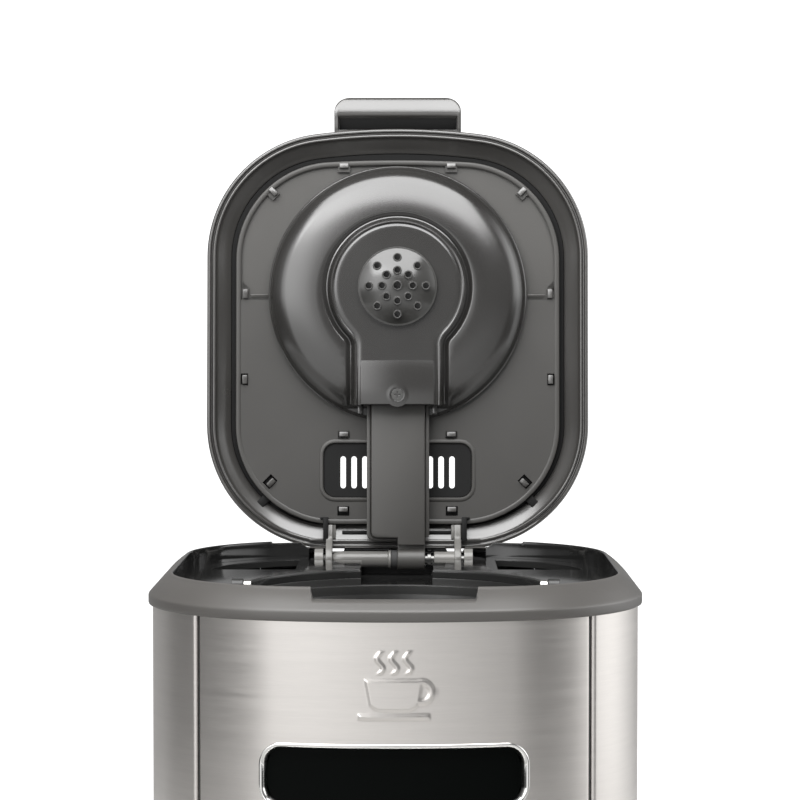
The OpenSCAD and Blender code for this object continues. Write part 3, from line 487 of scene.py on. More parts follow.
def collar():
    """Skirt over the steel, sloping face, crest and inner wall."""
    skirt = [(-0.4, 332.55), (1.2, 332.55), (1.62, 332.72), (1.8, 333.2), (1.8, 334.6), (1.8, 336.0),
             (1.72, 336.5), (1.45, 336.92)]
    crest = [(4.3, 344.3), (3.9, 344.68), (3.45, 344.92), (3.05, 345.0), (2.75, 344.9), (2.56, 344.6)]
    inner = [(2.5, z) for z in (344.2, 342.5, 340.2, 338.5, 336.9)]
    rings = [[(x, y, z) for x, y in outline(BODY, k)] for k, z in skirt]
    slope = list(zip(outline(BODY, skirt[-1][0]), outline(LID, crest[0][0])))
    for i in range(1, 14):
        s = i / 14
        z = lerp(skirt[-1][1], crest[0][1], s) + 0.5 * math.sin(math.pi * s)
        rings.append([(lerp(p[0], q[0], s), lerp(p[1], q[1], s), z) for p, q in slope])
    for k, z in crest + inner:
        ring = []
        for x, y in outline(LID, k):
            if y > 90 and abs(x) <= 41:
                y = 109.35 + (k - 2.5)               # the recess behind the hinge
            ring.append((x, y, z))
        rings.append(ring)
    rings = [[(x, y, collar_height(x, y, z)) for x, y, z in ring] for ring in rings]
    b = Build()
    b.loft(rings[:-7])
    b.loft(rings[-8:] + rings[:1], mat=1)
    b.make("collar", "machine", (M_COLLAR, M_DECK), ("top_collar",), sharp=50, weld=0)


collar()

# ---------------------------------------------------------------- steel sheets

def wall_point(angle):
    """A point of the body's steel, at an angle in degrees round the front corner."""
    cx, yf, _, run, tangent = corner_of(BODY)
    r, bow = BODY[3:]
    a = math.radians(abs(angle))
    s = 1 if angle >= 0 else -1
    if abs(angle) <= math.degrees(tangent):
        return s * bow * math.sin(a), yf + run - bow * math.cos(a)
    return s * (cx + r * math.sin(a)), yf - r * math.cos(a)


def side_line(side, back_x=64.2):
    """From a front seam round the corner and along the side, to the rear cover's edge."""
    cx, yf, yb, _, _ = corner_of(BODY)
    half, r = BODY[0], BODY[3]
    pts = [wall_point(lerp(SEAM + 2.2, 90, i / 48)) for i in range(49)]
    pts += [(half, lerp(yf, yb, i / 12)) for i in range(1, 12)]
    end = math.acos((back_x - cx) / r)
    pts += [(cx + r * math.cos(end * i / 40), yb + r * math.sin(end * i / 40)) for i in range(41)]
    return [(side * x, y) for x, y in pts]


def curl(pts, radius, at_end=True, turn=115):
    """Rolls a line's end inwards round a small radius."""
    seq = [Vector(p) for p in pts]
    if not at_end:
        seq.reverse()
    d = (seq[-1] - seq[-2]).normalized()
    left = Vector((-d.y, d.x))
    sign = 1 if left.dot(-seq[-1]) > 0 else -1
    centre = seq[-1] + left * sign * radius
    start = seq[-1] - centre
    for i in range(1, 10):
        seq.append(centre + Matrix.Rotation(math.radians(turn * i / 9) * sign, 2) @ start)
    if not at_end:
        seq.reverse()
    return [tuple(p) for p in seq]


class Surface:
    """Maps (distance along a line, height, depth) to a point behind the line."""

    def __init__(self, pts):
        self.points = np.array(pts)
        steps = np.linalg.norm(np.diff(self.points, axis=0), axis=1)
        self.along = np.concatenate([[0], np.cumsum(steps)])
        self.length = self.along[-1]
        middle = int(np.argmin(np.abs(self.points[:, 0]) + (self.points[:, 1] > 0) * 999))
        self.mid = self.along[middle]

    def plan(self, s):
        return [np.interp(s, self.along, self.points[:, i]) for i in (0, 1)]

    def at(self, s, z, depth=0.0):
        x, y = self.plan(s)
        if depth:
            near = 0.3
            tx, ty = (q - p for p, q in zip(self.plan(s - near), self.plan(s + near)))
            n = math.hypot(tx, ty)
            x, y = x - ty / n * depth, y + tx / n * depth
        return (float(x), float(y), z)


def sheet(name, surf, z0, z1, replaces, holes=(), cuts_s=(), cuts_z=(), height=None):
    """A thin steel sheet over a surface, with holes given as loops of (s, z)."""
    bm = bmesh.new()
    loops = [[(0, z0), (surf.length, z0), (surf.length, z1), (0, z1)]] + list(holes)
    edges = []
    for loop in loops:
        vs = [bm.verts.new((x, y, 0)) for x, y in loop]
        edges += [bm.edges.new((vs[i], vs[(i + 1) % len(vs)])) for i in range(len(vs))]
    bmesh.ops.triangle_fill(bm, use_beauty=True, use_dissolve=False, edges=edges)
    bends, last = [], -9
    for v in surf.along[1:-1]:
        if v - last > 0.25:
            bends.append(float(v))
            last = v
    planes = [((v, 0, 0), (1, 0, 0)) for v in bends + list(cuts_s)] + [((0, v, 0), (0, 1, 0)) for v in cuts_z]
    for co, no in planes:
        geom = list(bm.verts) + list(bm.edges) + list(bm.faces)
        bmesh.ops.bisect_plane(bm, geom=geom, plane_co=co, plane_no=no, dist=1e-5)
    bmesh.ops.dissolve_limit(bm, angle_limit=0.001, verts=[], edges=[])
    for v in bm.verts:
        s, z = v.co.x, v.co.y
        v.co = surf.at(s, z, -(height(s, z) if height else 0.0))
    ob = Build(bm).make(name, "machine", M_STEEL, replaces, sharp=60, weld=0.001)
    solid = ob.modifiers.new("thickness", "SOLIDIFY")
    solid.thickness, solid.offset = SHEET_T, -1


front_angle = SEAM - 1.9
front_line = [wall_point(lerp(-front_angle, front_angle, i / 96)) for i in range(97)]
FRONT = Surface(curl(curl(front_line, 1.3), 1.3, at_end=False))
EMBLEM_Z = RIM - 37.6


def cup_height(s, z):
    """A small embossed cup with steam: how far it stands proud at a place."""
    x, y = (s - FRONT.mid) / 1.3, (z - EMBLEM_Z) / 1.3

    def edge(d, w=0.62):
        return smoothstep(w, -w, d)

    bowl = max(abs(x) - (8.6 - 0.16 * max(2 - y, 0) * 1.2), y - 2.0, -7.2 - y)
    corner = math.hypot(max(abs(x) - 3.4, 0), min(y + 2.2, 0)) - 5.0
    bowl = max(bowl, corner if y < -2.2 else -9)
    ring = abs(math.hypot(x - 8.2, y + 1.6) - 3.0) - 0.75
    ring = ring if x > 6.5 else 9
    saucer = max(abs(y + 9.0) - 0.6, abs(x) - 10.5)
    h = edge(min(bowl, ring, saucer))
    for x0 in (-4.2, 0.0, 4.2):
        wave = abs(x - x0 - 0.9 * math.sin((y - 4.0) * 1.05)) - 0.55
        h = max(h, edge(max(wave, abs(y - 7.2) - 3.2)))
    return 0.5 * h


window = rounded(107, WINDOW_H, 9, 8, (FRONT.mid, WINDOW_Z))
pills = [rounded(14.6, 7.1, 3.54, 8, (FRONT.mid + x, KEYS_Z)) for x in KEYS_X]
sheet("front_sheet", FRONT, FRONT_LOW, SHEET_TOP, ("front_panel",), [window] + pills,
      cuts_s=[FRONT.mid + i * 0.46 for i in range(-34, 36)],
      cuts_z=[EMBLEM_Z + i * 0.46 for i in range(-34, 35)], height=cup_height)
sheet("base_sheet", FRONT, BASE_LOW, BASE_TOP, ("base_front_panel",))
for side, name in ((-1, "left"), (1, "right")):
    line = curl(side_line(side), 1.7, at_end=False)
    surf = Surface(line if side > 0 else line[::-1])
    sheet("side_sheet_" + name, surf, BASE_LOW, SHEET_TOP, ("side_panel_" + name,))

# ---------------------------------------------------------------- window frame and glass
b = Build()
prof = [(-0.05, 1.0), (-0.05, -0.1), (0.1, -0.36), (0.45, -0.46), (0.9, -0.42), (1.3, -0.2), (1.75, 0.4),
        (2.2, 1.3), (2.5, 2.4)]
rings = []
for inset, depth in prof:
    size = 106.9 - 2 * inset, WINDOW_H - 0.1 - 2 * inset
    loop = rounded(*size, max(8.95 - inset, 0.5), 10, (FRONT.mid, WINDOW_Z))
    dense = []
    for p, q in zip(loop, loop[1:] + loop[:1]):
        m = 20 if abs(p[0] - q[0]) > 20 else 6 if abs(p[1] - q[1]) > 8 else 1
        dense += [(lerp(p[0], q[0], j / m), lerp(p[1], q[1], j / m)) for j in range(m)]
    rings.append([FRONT.at(s, z, depth) for s, z in dense])
b.loft(rings)
b.make("window_frame", "machine", M_CHROME_FINE, ("window_bezel",), sharp=70)
b = Build()
GLASS_HALF, GLASS_R = 50.9, 6.4
for layer in (2.5, 4.1):
    rows = []
    for i in range(65):
        x = -GLASS_HALF + 2 * GLASS_HALF * i / 64
        h = WINDOW_H / 2 - 2.55
        round_x = abs(x) - (GLASS_HALF - GLASS_R)
        if round_x > 0:
            h += math.sqrt(max(0, GLASS_R ** 2 - round_x ** 2)) - GLASS_R
        rows.append([FRONT.at(FRONT.mid + x, WINDOW_Z + t * h, layer) for t in (-1, -0.5, 0, 0.5, 1)])
    b.loft(rows, closed=False)
b.make("window_glass", "machine", M_GLASS, ("display_glass",), sharp=70)

# ---------------------------------------------------------------- lid

def back_lift(y, z):
    """The lid's skirt gets shallower towards the hinge, so that it clears the collar as it turns."""
    cut = 338.0 + max(0.0, y - (PIVOT_Y - 30)) * 0.1926
    return cut + (z - 338.0) * (346.0 - cut) / 8.0 if z < 346 else z


vent_outer = rounded(65.4, 21.4, 4, 6, (0, VENT_Y))
b = Build()
rim = [(-16, LID_OUT), (-13, 348.15), (-9, 347.72), (-5.5, 347.1), (-3, 346.55), (-1.5, 346.05),
       (-0.6, 345.3), (-0.15, 344.4), (0, 343.4), (0, 341.4), (0, 339.6), (-0.12, 338.8), (-0.45, 338.25),
       (-0.95, 338.0), (-1.45, 338.1), (-1.7, 338.5), (-1.78, 339.1), (-2.0, 339.5), (-2.35, 339.55),
       (-2.6, 339.2), (-2.75, 338.75), (-3.05, 338.45), (-3.5, 338.4), (-3.9, 338.65), (-4.1, 339.2),
       (-4.4, 339.95), (-5.3, 340.85), (-6.8, 342.2), (-8.6, 343.75), (-10.2, 345.0), (-10.9, 345.35)]
# the groove's faces behind the lining (material 1) are painted shade, near-black
groove = [(-10.9, 345.35), (-11.2, LID_IN), (-17.5, LID_IN)]
for profile, mat in ((rim, 0), (groove, 1)):
    b.loft([[(x, y, back_lift(y, z)) for x, y in outline(LID, k)] for k, z in profile], mat=mat)
b.fill([outline(LID, -16), vent_outer], LID_OUT)
b.fill([outline(LID, -17.5), vent_outer], LID_IN, 1)
b.loft([[(x, y, z) for x, y in vent_outer] for z in (LID_OUT, LID_IN)])

# handle: a tapered lip with a crease, hollow next to the rim
HANDLE_LEN, TIP_R, HANDLE_TOP = 15.2, 7, 345.35
stations = [(4.0, 341.6, 341.6), (0.4, 341.6, 341.6), (-0.2, 341.2, 344.6), (-1.0, 341.0, 344.7),
            (-3.0, 340.75, 343.8), (-5.4, 340.5, 342.6), (-5.9, 340.4, 341.6), (-6.4, 340.35, 340.7),
            (-7.0, 340.3, 340.35), (-8.4, 340.3, 340.3), (-9.9, 340.55, 340.55), (-11.2, 340.9, 340.9),
            (-12.6, 341.5, 341.5), (-13.9, 342.0, 342.0), (-14.7, 342.6, 342.6), (-15.05, 343.1, 343.1),
            (-15.2, 343.6, 343.6)]
rings = []
for dy, low, hollow in stations:
    y = LID[1] + dy
    out = -dy - (HANDLE_LEN - TIP_R)
    w = 29.8 if out <= 0 else 22.8 + math.sqrt(max(0, TIP_R ** 2 - out * out))
    top = HANDLE_TOP - (0 if dy > -13.5 else (-13.5 - dy) ** 2 * 0.35)
    low = min(low, top - 0.3)
    hollow = min(hollow, top - 0.3)
    under = [(w - 2.1, hollow), (w - 1.7, low), (w - 0.9, low), (w - 0.25, low + 0.25), (w, low + 0.9)]
    over = [(w, top - 0.9), (w - 0.25, top - 0.25), (w - 0.9, top)]
    ring = [(-x, z) for x, z in reversed(under)]
    ring += [(-w * 0.5, hollow), (0, hollow), (w * 0.5, hollow)] + under + over + [(0, top)]
    ring += [(-x, z) for x, z in reversed(over)]
    rings.append([(x, y, min(z, HANDLE_TOP)) for x, z in ring])
b.loft(rings, cap0=True, cap1=True)
# the crease beside the handle (material 1) is painted shade, near-black
crease = [(LID[1] - 0.3, 344.4), (LID[1] - 5.3, 342.4), (LID[1] - 5.3, 343.4), (LID[1] - 0.3, 345.2)]
b.prism(crease, -27.5, 27.5, 0.1, "X", 1, mat=1)

# snap hooks, as distances from the middle and from the pivot, and the way they face
hooks = [(25.2, 183.9, 0), (58.8, 171.9, -45), (72, 124.2, -90), (72.2, 84, -90), (59.6, 36, -135),
         (25.2, 57.8, 0), (25.4, 22.6, 0)]
for x, v, turn in hooks:
    for s in (-1, 1):
        M = Matrix.Translation((s * x, PIVOT_Y - v, 0)) @ Matrix.Rotation(math.radians(s * turn), 4, "Z")
        b.box((-1.8, -0.6, 341.0), (1.8, 0.5, 345.6), 0.2, M=M)
        # each hook's top block (material 1) is painted shade, black in the pocket seen through the lining's
        # hole
        b.box((-2.75, -1.95, 343.9), (2.75, 2.35, 345.6), 0.2, M=M, mat=1)
        beak = [(-1.75, 340.5), (0.5, 340.2), (0.75, 341.1), (0.5, 341.9), (-1.75, 341.5)]
        b.prism(beak, -2.05, 2.05, 0.25, "X", 2, M=M)


def post_ledge(x, out, reach, v, lo, hi, bevel, mat=0):
    """A ledge 1 mm or so thick on a post by the hinge, from its far side and past it on the side out."""
    x0, x1 = (x - 1.2, x + reach) if out > 0 else (x - reach, x + 1.2)
    b.box((x0, PIVOT_Y - v[0], lo), (x1, PIVOT_Y - v[1], hi), bevel, mat=mat)


# the blocks by the hinge given material 1 are painted shade, near-black
for x, out in ((-33.6, -1), (31.2, 1)):
    b.box((x - 1.2, PIVOT_Y - 19, 339.6), (x + 1.2, PIVOT_Y - 8.2, 345.6), 0.3, mat=1)
    post_ledge(x, out, 7.5, (9.6, 8.4), 340.6, 344.6, 0.3)
    post_ledge(x, out, 2.6, (19.6, 18.6), 340.2, 344.8, 0.25, mat=1)
for s in (-1, 1):
    M = Matrix.Translation((s * 64.2, PIVOT_Y - 26.6, 0)) @ Matrix.Rotation(math.radians(-s * 136), 4, "Z")
    b.box((-4.2, -2.6, 343.4), (4.2, 1.4, 345.6), 0.3, M=M, mat=1)
    b.box((-s * 20 - 6, PIVOT_Y - 13.2, 343.2), (-s * 20 + 6, PIVOT_Y - 11.6, 345.6), 0.3, mat=1)
b.make("lid_cover", "lid", (M_LID, M_PAINTED_SHADE), ("lid_shell",), M=OPEN, sharp=44)

b = Build()
holes = []
for x, v, turn in hooks:
    for s in (-1, 1):
        a = math.radians(s * turn)
        ux, uy = math.cos(a), math.sin(a)
        corners = [(-2.8, -2.0), (2.8, -2.0), (2.8, 2.4), (-2.8, 2.4)]
        holes.append([(s * x + p * ux - q * uy, PIVOT_Y - v + p * uy + q * ux) for p, q in corners])
vent = [rounded(69.4 + 2 * k, 25.4 + 2 * k, 5.5 + k, 8, (0, VENT_Y)) for k in (2.0, 1.7, 1.1, 0.4, 0.0)]
panel_edge = [(-2.3, PANEL_LOW), (-2.05, 341.62), (-1.6, 341.5), (-0.8, 341.48), (-0.3, 341.62), (0, 342.0),
              (0, PANEL_TOP)]
vent_edge = [(0, PANEL_LOW), (1, 341.5), (2, 341.25), (3, 341.3), (4, 341.7), (4, PANEL_TOP), (4, 345.2)]
b.fill([outline(PANEL, -2.3)] + holes + [vent[0]], PANEL_LOW)
b.loft([[(x, y, z) for x, y in outline(PANEL, k)] for k, z in panel_edge])
b.fill([outline(PANEL, 0)] + holes + [vent[-1]], PANEL_TOP)
b.loft([[(x, y, z) for x, y in vent[i]] for i, z in vent_edge])
for hole in holes:
    b.loft([[(x, y, z) for x, y in hole] for z in (PANEL_LOW, PANEL_TOP)])
for s in (-1, 1):
    b.box((s * 64.9 - 4.1, PIVOT_Y - 124.0, 340.9), (s * 64.9 + 4.1, PIVOT_Y - 123.2, 342.2), 0.2)
b.make("lid_lining", "lid", M_PANEL, ("lid_inner_panel",), M=OPEN, sharp=30)

b = Build()
for x in (-33.5, 26.5):
    angles = [math.radians(a) for a in range(-120, 125, 12)]
    arm = [(PIVOT_Y + 4 * math.cos(a), PIVOT_Z + 4 * math.sin(a)) for a in angles]
    arm += [(PIVOT_Y - 5.6, PIVOT_Z + 4.9), (PIVOT_Y - 8.7, 344), (PIVOT_Y - 16, 344), (PIVOT_Y - 16, 341.2),
            (PIVOT_Y - 10.2, 340.3), (PIVOT_Y - 8.0, PIVOT_Z + 2.4), (PIVOT_Y - 5.2, PIVOT_Z - 1.2)]
    b.prism(arm, x, x + 3.2, 0.45, "X", 2)
    b.box((x - 1.4, PIVOT_Y - 16, 342.4), (x + 4.6, PIVOT_Y - 9.4, 344), 0.3)
sleeve = [(2.27, 17), (3.3, 17), (3.6, 17.3), (3.6, 27), (2.27, 27)]
b.lathe(sleeve, (PIVOT_Y, PIVOT_Z), 40, axis="X", loop=True)
b.make("lid_arms", "lid", M_GLOSS, ("lid_hinge_arms",), M=OPEN)

# ---------------------------------------------------------------- spray arm

DISC_EDGE = fillet([(0, 17.6), (22, 17.6), (43.5, 16.6), (54.3, 13.9), (58.8, 9.1), (59.5, 6.6)],
                   [20, 16, 7, 4], 8)
UNDER = 20.6                                         # from the collar's crest to the spray head's lower face


def disc_depth(r):
    """How far the disc's face lies below the collar's crest, at a radius."""
    return float(np.interp(r, [p[0] for p in DISC_EDGE], [p[1] for p in DISC_EDGE]))


def keyhole(grow, n=84):
    """Outline round the spray head and down its stem, from the right side of the stem's end."""
    r, w, neck, end = 30.0 + grow, 18.9 + grow, 9.6 - grow, PIVOT_Y - 71.6
    neck_y = math.sqrt((r + neck) ** 2 - (w + neck) ** 2)
    a_c = math.atan2(neck_y, w + neck)
    pts = [(w, lerp(end, HEAD_Y + neck_y, i / 6)) for i in range(7)]
    for i in range(1, 9):
        a = math.pi + a_c * i / 8
        pts.append((w + neck + neck * math.cos(a), HEAD_Y + neck_y + neck * math.sin(a)))
    stem = list(pts)
    for i in range(1, n):
        a = a_c - (math.pi + 2 * a_c) * i / n
        pts.append((r * math.cos(a), HEAD_Y + r * math.sin(a)))
    return pts + [(-x, y) for x, y in reversed(stem)]


b = Build()
bead = [(5.4, 0.0), (4.9, -0.04), (4.3, -0.16), (3.7, -0.3), (3.1, -0.38), (2.6, -0.34), (2.2, -0.16),
        (1.8, 0.16), (1.45, 0.5), (1.1, 0.78), (0.75, 0.93), (0.4, 0.99), (0.0, 0.97), (-0.35, 0.89),
        (-0.7, 0.82), (-1.1, 0.83), (-1.5, 0.88), (-2.0, 0.9), (-3.0, 0.9)]
back_steps = [(60.2, 5.5), (60.3, 6.0), (59.8, 6.5)]
face_steps = [(r, None) for r, _ in reversed(DISC_EDGE) if r > 24]
rings = []
for radius, depth in back_steps + face_steps:
    ring = []
    for x, y in keyhole(bead[0][0]):
        r0 = math.hypot(x, y - DISC_Y)
        r = max(r0, radius)
        z = RIM - (disc_depth(r) if depth is None else depth)
        ring.append((x * r / r0, DISC_Y + (y - DISC_Y) * r / r0, z))
    rings.append(ring)
for grow, t in bead:
    ring = []
    for x, y in keyhole(grow):
        foot = disc_depth(math.hypot(x, y - DISC_Y))
        ring.append((x, y, RIM - (lerp(foot, UNDER, t) if t > 0 else foot + t * 4.2)))
    rings.append(ring)
b.loft(rings, cap1=True)
back = [(0, RIM - 8), (58.6, RIM - 8), (60.1, RIM - 6.0), (60.1, RIM - 5.4), (0, RIM - 5.4)]
b.lathe(back, (0, DISC_Y), 160)
stem = [(AXIS_Y + 53.4, 20.62), (AXIS_Y + 53.4, 6), (PIVOT_Y - 96, 6), (PIVOT_Y - 96, 20.0),
        (PIVOT_Y - 90.4, 20.35), (PIVOT_Y - 88.6, 20.62), (PIVOT_Y - 80, 20.62)]
b.prism([(y, RIM - depth) for y, depth in stem], -17.2, 17.2, 0.55, "X", 3)
hook = [(52, 12.0), (57.4, 12.4), (58.0, 11.2), (57.2, 9.4), (52, 8.6)]
for s in (-1, 1):
    outline_yz = [(AXIS_Y + y, RIM - depth) for y, depth in hook]
    b.prism(outline_yz, s * 17.4 - 1.1, s * 17.4 + 1.1, 0.4, "X", 2)
boss = [(5.6, 20.6), (4.6, 20.66), (3.9, 20.78), (3.3, 20.84), (2.9, 20.7), (2.75, 20.3), (2.75, 19.6),
        (0, 19.6)]
b.lathe([(r, RIM - depth) for r, depth in boss], (0, SCREW_Y), 32)
b.make("disc", "spray_arm", (M_DISC, M_PANEL), ("spray_disc",), M=OPEN, sharp=36)

# the arm's two halves: a cover in front of a channel, as (x, distance in front of the pivot)
ARM_TOP, ARM_LOW, ARM_END = RIM - 5, RIM - 13.5, 71.5


def arm_piece(points, lo, hi, bevel, segments):
    b.prism([(x, PIVOT_Y - v) for x, v in points], lo, hi, bevel, "Z", segments)


b = Build()
arm_piece([(-12.25, ARM_END + 10), (12.75, ARM_END + 10), (12.75, 6.5), (0.05, 6.5), (0.05, 10), (-9.6, 10),
           (-11.6, 10.6), (-12.25, 12.6)], ARM_LOW, ARM_TOP - 1.3, 0.7, 3)
b.make("arm_front", "spray_arm", M_PANEL, ("arm_cover",), M=OPEN, sharp=40)
b = Build()
arm_piece([(-14.3, ARM_END + 8), (-12.4, ARM_END + 8), (-12.4, 12), (-11.4, 10.2), (0.0, 9.9), (0.0, 8.5),
           (-10.5, 8.5), (-13.4, 9.6), (-14.3, 12)], ARM_LOW + 2.6, ARM_TOP, 0.5, 2)
arm_piece([(12.85, ARM_END + 8), (14.8, ARM_END + 8), (14.8, 10.4), (12.85, 10.4)], ARM_LOW + 2.6, ARM_TOP,
          0.5, 2)
b.box((-14.2, PIVOT_Y - ARM_END - 8, ARM_TOP - 1.25), (14.7, PIVOT_Y - 10.4, ARM_TOP), 0.3)
b.box((0.1, PIVOT_Y - 14, ARM_LOW + 2.8), (12.8, PIVOT_Y - 1, ARM_TOP), 0.5)
ferrule = [(3.05, 0.0), (4.6, 0.0), (4.9, 0.35), (4.9, 12.45), (4.6, 12.8), (3.05, 12.8)]
b.lathe(ferrule, (PIVOT_Y, PIVOT_Z), 48, axis="X", loop=True)
b.make("arm_back", "spray_arm", M_PANEL, ("arm_channel",), M=OPEN, sharp=40)

# ---------------------------------------------------------------- hinge barrel
b = Build()
barrel = [(0, -38.5), (2.0, -38.5), (2.2, -38.2), (2.2, -30.4), (2.5, -30.1), (3.0, -29.2), (3.55, -27.6),
          (3.8, -25.6), (3.8, -5.2), (3.7, -4.5), (4.1, -4.2), (4.3, -3.8), (4.3, -3.2), (4.1, -2.95),
          (3.0, -2.9), (3.0, 5.0), (1.7, 5.0), (1.7, -10), (0, -10)]
b.lathe(barrel, (PIVOT_Y, PIVOT_Z), 64, axis="X")
b.lathe([(2.8, 322.8), (2.8, 333.5), (3.2, 334.6)], (-20, PIVOT_Y), 32)
b.make("water_outlet", "machine", M_GLOSS, ("hinge_barrel",))

# ---------------------------------------------------------------- lip round the well, with gaps for the bail
b = Build()
lip = fillet([(62.05, 333), (62.05, 337.75), (64.4, 337.75), (64.9, 336.8)], [0.5, 0.9], 4)
for a0, a1 in ((6.1, 74.6), (105.4, 173.9), (186.1, 353.9)):
    b.lathe(lip, (0, AXIS_Y), 72, a0, a1)
b.make("well_lip", "machine", M_BLACK_FINE, ())

# ---------------------------------------------------------------- carafe
b = Build()
outside = fillet([(58.3, 59.25), (61.2, 64), (62, 72), (62, 148), (61.4, 158), (58.4, 169), (52.0, 180),
                  (47.3, 187), (46.4, 194)], [3, 5, 20, 8, 8, 8, 3], 6)
inside = [(45.4, 194), (46.2, 187.4), (51, 179.6), (57.4, 168.4), (60.4, 157.8), (61, 148), (61, 72),
          (57.4, 59.6)]
b.lathe(outside + inside, (0, AXIS_Y), 160, loop=True)
b.make("flask", "carafe", M_STEEL_TURNED, ("carafe_shell",), sharp=50)
b = Build()
neck = fillet([(47.15, 188.2), (48.6, 188.2), (48.6, NECK_TOP), (42.7, NECK_TOP), (42.7, 197)],
              [0.6, 1.2, 0.8], 5)
b.lathe(neck, (0, AXIS_Y), 128)
spout = []
for i in range(9):
    s = i / 8
    w = lerp(13.5, 4.6, s)
    y = AXIS_Y + lerp(45.2, 54.6, s)
    half = [(-w, NECK_TOP), (-w * 0.96, lerp(192.5, 199.6, s)), (-w * 0.5, lerp(191, 198.2, s))]
    inner = [(w * 0.8, NECK_TOP), (w * 0.7, 200.6), (0, 199.6), (-w * 0.7, 200.6), (-w * 0.8, NECK_TOP)]
    ring = half + [(0, lerp(190.6, 197.9, s))] + [(-x, z) for x, z in reversed(half)] + inner
    spout.append([(x, y, z) for x, z in ring])
b.loft(spout, cap0=True, cap1=True)
b.make("flask_neck", "carafe", M_BLACK_FINE, ("carafe_neck_ring",), sharp=45)

b = Build()
spine = fillet([(-49.2, 197.5), (-84, 198.6), (-97, 190), (-97.5, 140), (-94, 99), (-62.4, 94.5)],
               [8, 12, 30, 10], 10)
SQUARE = 0.62                                        # below 1, the section is squarer than an ellipse
rings = []
for i, (r, z) in enumerate(spine):
    before, after = Vector(spine[max(0, i - 1)]), Vector(spine[min(len(spine) - 1, i + 1)])
    along = (after - before).normalized()
    normal = Vector((-along.y, along.x))
    middle = math.sin(math.pi * i / (len(spine) - 1))
    half_w, thick = 10.9 - 1.6 * middle, 5.4 - 0.6 * middle
    ring = []
    for j in range(28):
        cos_a, sin_a = math.cos(2 * math.pi * j / 28), math.sin(2 * math.pi * j / 28)
        x = half_w * math.copysign(abs(cos_a) ** SQUARE, cos_a)
        d = thick * math.copysign(abs(sin_a) ** SQUARE, sin_a)
        ring.append((x, AXIS_Y + r + normal.x * d, z + normal.y * d))
    rings.append(ring)
b.loft(rings, cap0=True, cap1=True)
b.make("flask_handle", "carafe", M_BLACK_FINE, ("carafe_handle",), sharp=50)

b = Build()
cap = fillet([(0, 217.2), (12, 217.2), (38.5, 214.9), (46.4, 209.6), (47.4, 204.1), (41.1, 204.1),
              (41.1, 190.4), (38, 190.4)], [6, 8, 3, 1, 0.3, 1], 6)
b.lathe(cap, (0, AXIS_Y), 128)
b.make("flask_cap", "carafe_top", M_BLACK_FINE, ("carafe_lid",), sharp=45)

# ---------------------------------------------------------------- stage

def floor():
    """A pale round floor, in metres, that turns as white as the background towards its edge."""
    sides = 96
    bm = bmesh.new()
    angles = np.linspace(0, 2 * math.pi, sides + 1)[:-1]
    rings = [[bm.verts.new((r * math.cos(a), r * math.sin(a), -0.0005)) for a in angles]
             for r in (0.05, 0.3, 0.6, 0.9, 1.25)]
    bm.faces.new(rings[0])
    for inner, outer in zip(rings, rings[1:]):
        for i in range(sides):
            j = (i + 1) % sides
            bm.faces.new((inner[i], outer[i], outer[j], inner[j]))
    mesh = bpy.data.meshes.new("floor")
    bm.to_mesh(mesh)
    bm.free()
    ob = bpy.data.objects.new("floor", mesh)
    bpy.context.scene.collection.objects.link(ob)
    m, t, p = nodes_of("floor_pale")
    co = t.nodes.new("ShaderNodeTexCoord").outputs["Object"]
    colour = blend(t, noise(t, co, 3, 3), (0.64, 0.635, 0.625, 1), (0.67, 0.665, 0.655, 1))
    t.links.new(colour, p.inputs["Base Color"])
    p.inputs["Roughness"].default_value = 0.9
    p.inputs["Specular IOR Level"].default_value = 0.1
    p.inputs["Emission Color"].default_value = (1, 1, 1, 1)
    far = t.nodes.new("ShaderNodeVectorMath")
    far.operation = "LENGTH"
    t.links.new(co, far.inputs[0])
    glow = map_range(t, far.outputs["Value"], (0.95, 1.22), (0.0, 1.0), smooth=True)
    t.links.new(glow, p.inputs["Emission Strength"])
    mesh.materials.append(m)


floor()

lamp = bpy.data.lights.new("top_box", "AREA")
lamp.shape = "RECTANGLE"
lamp.size, lamp.size_y = 0.95, 0.62
lamp.energy = 12.5
top_box = bpy.data.objects.new("top_box", lamp)
top_box.location = (-0.05, -0.28, 0.98)
aim = Vector((0.0, 0.08, 0.42)) - Vector(top_box.location)
top_box.rotation_euler = aim.to_track_quat("-Z", "Y").to_euler()
top_box.visible_camera = False
bpy.context.scene.collection.objects.link(top_box)

# ---------------------------------------------------------------- the studio round it

MOST = 4.0                                           # a ramp's colours stop at 1, so they are times this
OVERHEAD, BACKDROP = 0.12, 1.3                       # brightness straight above, and where the camera looks

world = bpy.data.worlds.new("studio")
world.use_nodes = True
bpy.context.scene.world = world
wt = world.node_tree


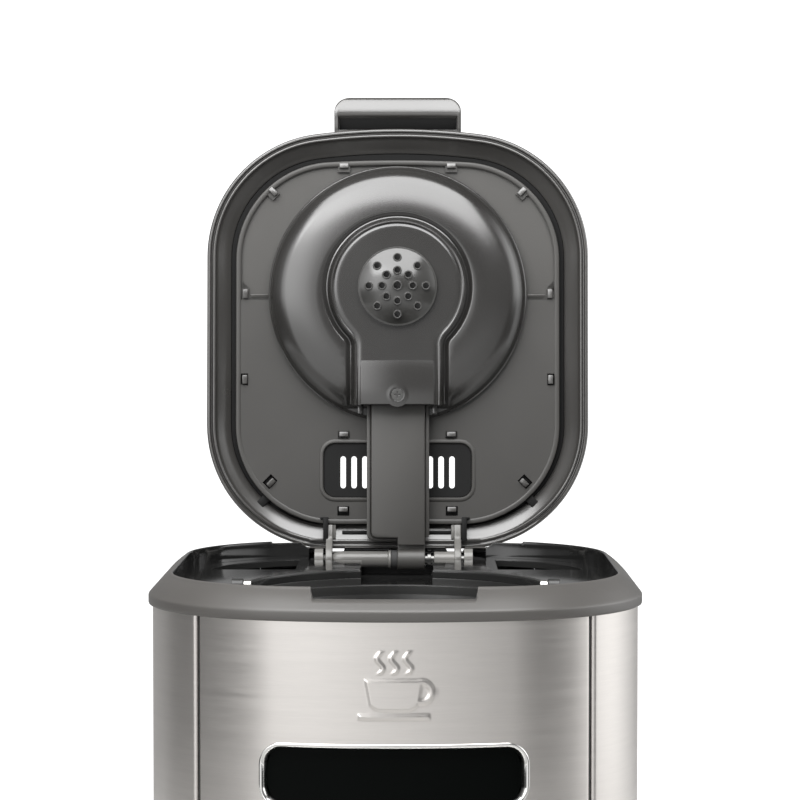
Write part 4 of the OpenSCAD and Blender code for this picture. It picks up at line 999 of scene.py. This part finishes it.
def world_profile(value, stops):
    """Brightness round the studio, from (azimuth in degrees from the front, value) pairs."""
    n = wt.nodes.new("ShaderNodeValToRGB")
    n.color_ramp.interpolation = "EASE"
    e = n.color_ramp.elements
    for k, (azimuth, v) in enumerate(stops):
        at = (azimuth + 180) / 360
        stop = e[k] if k < 2 else e.new(at)
        stop.position = at
        stop.color = (v / MOST, v / MOST, v / MOST, 1)
    wt.links.new(value, n.inputs["Fac"])
    return arithmetic(wt, "MULTIPLY", n.outputs["Color"], MOST)


sep = wt.nodes.new("ShaderNodeSeparateXYZ")
wt.links.new(wt.nodes.new("ShaderNodeTexCoord").outputs["Generated"], sep.inputs[0])
towards = arithmetic(wt, "MULTIPLY", sep.outputs["Y"], -1.0)
azimuth = arithmetic(wt, "ARCTAN2", sep.outputs["X"], towards)
around = map_range(wt, azimuth, (-math.pi, math.pi), (0.0, 1.0))
low = world_profile(around, [
    (-180, 0.4), (180, 0.4), (-135, 0.42), (-112, 0.14), (-60, 0.1), (-43, 0.24), (-31, 1.25), (-22, 1.2),
    (0, 1.0), (22, 0.7), (36, 0.26), (46, 0.05), (72, 0.12), (94, 1.35), (112, 1.6), (132, 0.9), (155, 0.35)])
high = world_profile(around, [
    (-180, 0.3), (180, 0.3), (-135, 0.3), (-112, 0.12), (-76, 0.5), (-52, 2.6), (-36, 4.0), (-20, 3.0),
    (-11, 1.5), (-2, 0.1), (52, 0.3), (74, 2.4), (112, 3.4), (132, 1.4), (155, 0.3)])
above = map_range(wt, sep.outputs["Z"], (-0.03, 0.1), (0.0, 1.0), smooth=True)
zenith = map_range(wt, sep.outputs["Z"], (0.4, 0.75), (0.0, 1.0), smooth=True)
walls = blend(wt, above, low, high, "FLOAT")
room = blend(wt, zenith, walls, OVERHEAD, "FLOAT")
seen = wt.nodes.new("ShaderNodeLightPath").outputs["Is Camera Ray"]
background = wt.nodes["Background"]
wt.links.new(blend(wt, seen, room, BACKDROP, "FLOAT"), background.inputs["Strength"])
background.inputs["Color"].default_value = (1, 1, 1, 1)

camera = bpy.data.cameras.new("camera")
camera.lens, camera.sensor_width = 122.5, 36.0
camera.clip_start, camera.clip_end = 0.05, 100
cam = bpy.data.objects.new("camera", camera)
cam.location = (0.0078, -1.1604, 0.459)
cam.rotation_euler = (math.radians(90 - 2.21), 0, math.radians(0.30))
bpy.context.scene.collection.objects.link(cam)
bpy.context.scene.camera = cam
bpy.context.scene.view_settings.view_transform = "Standard"
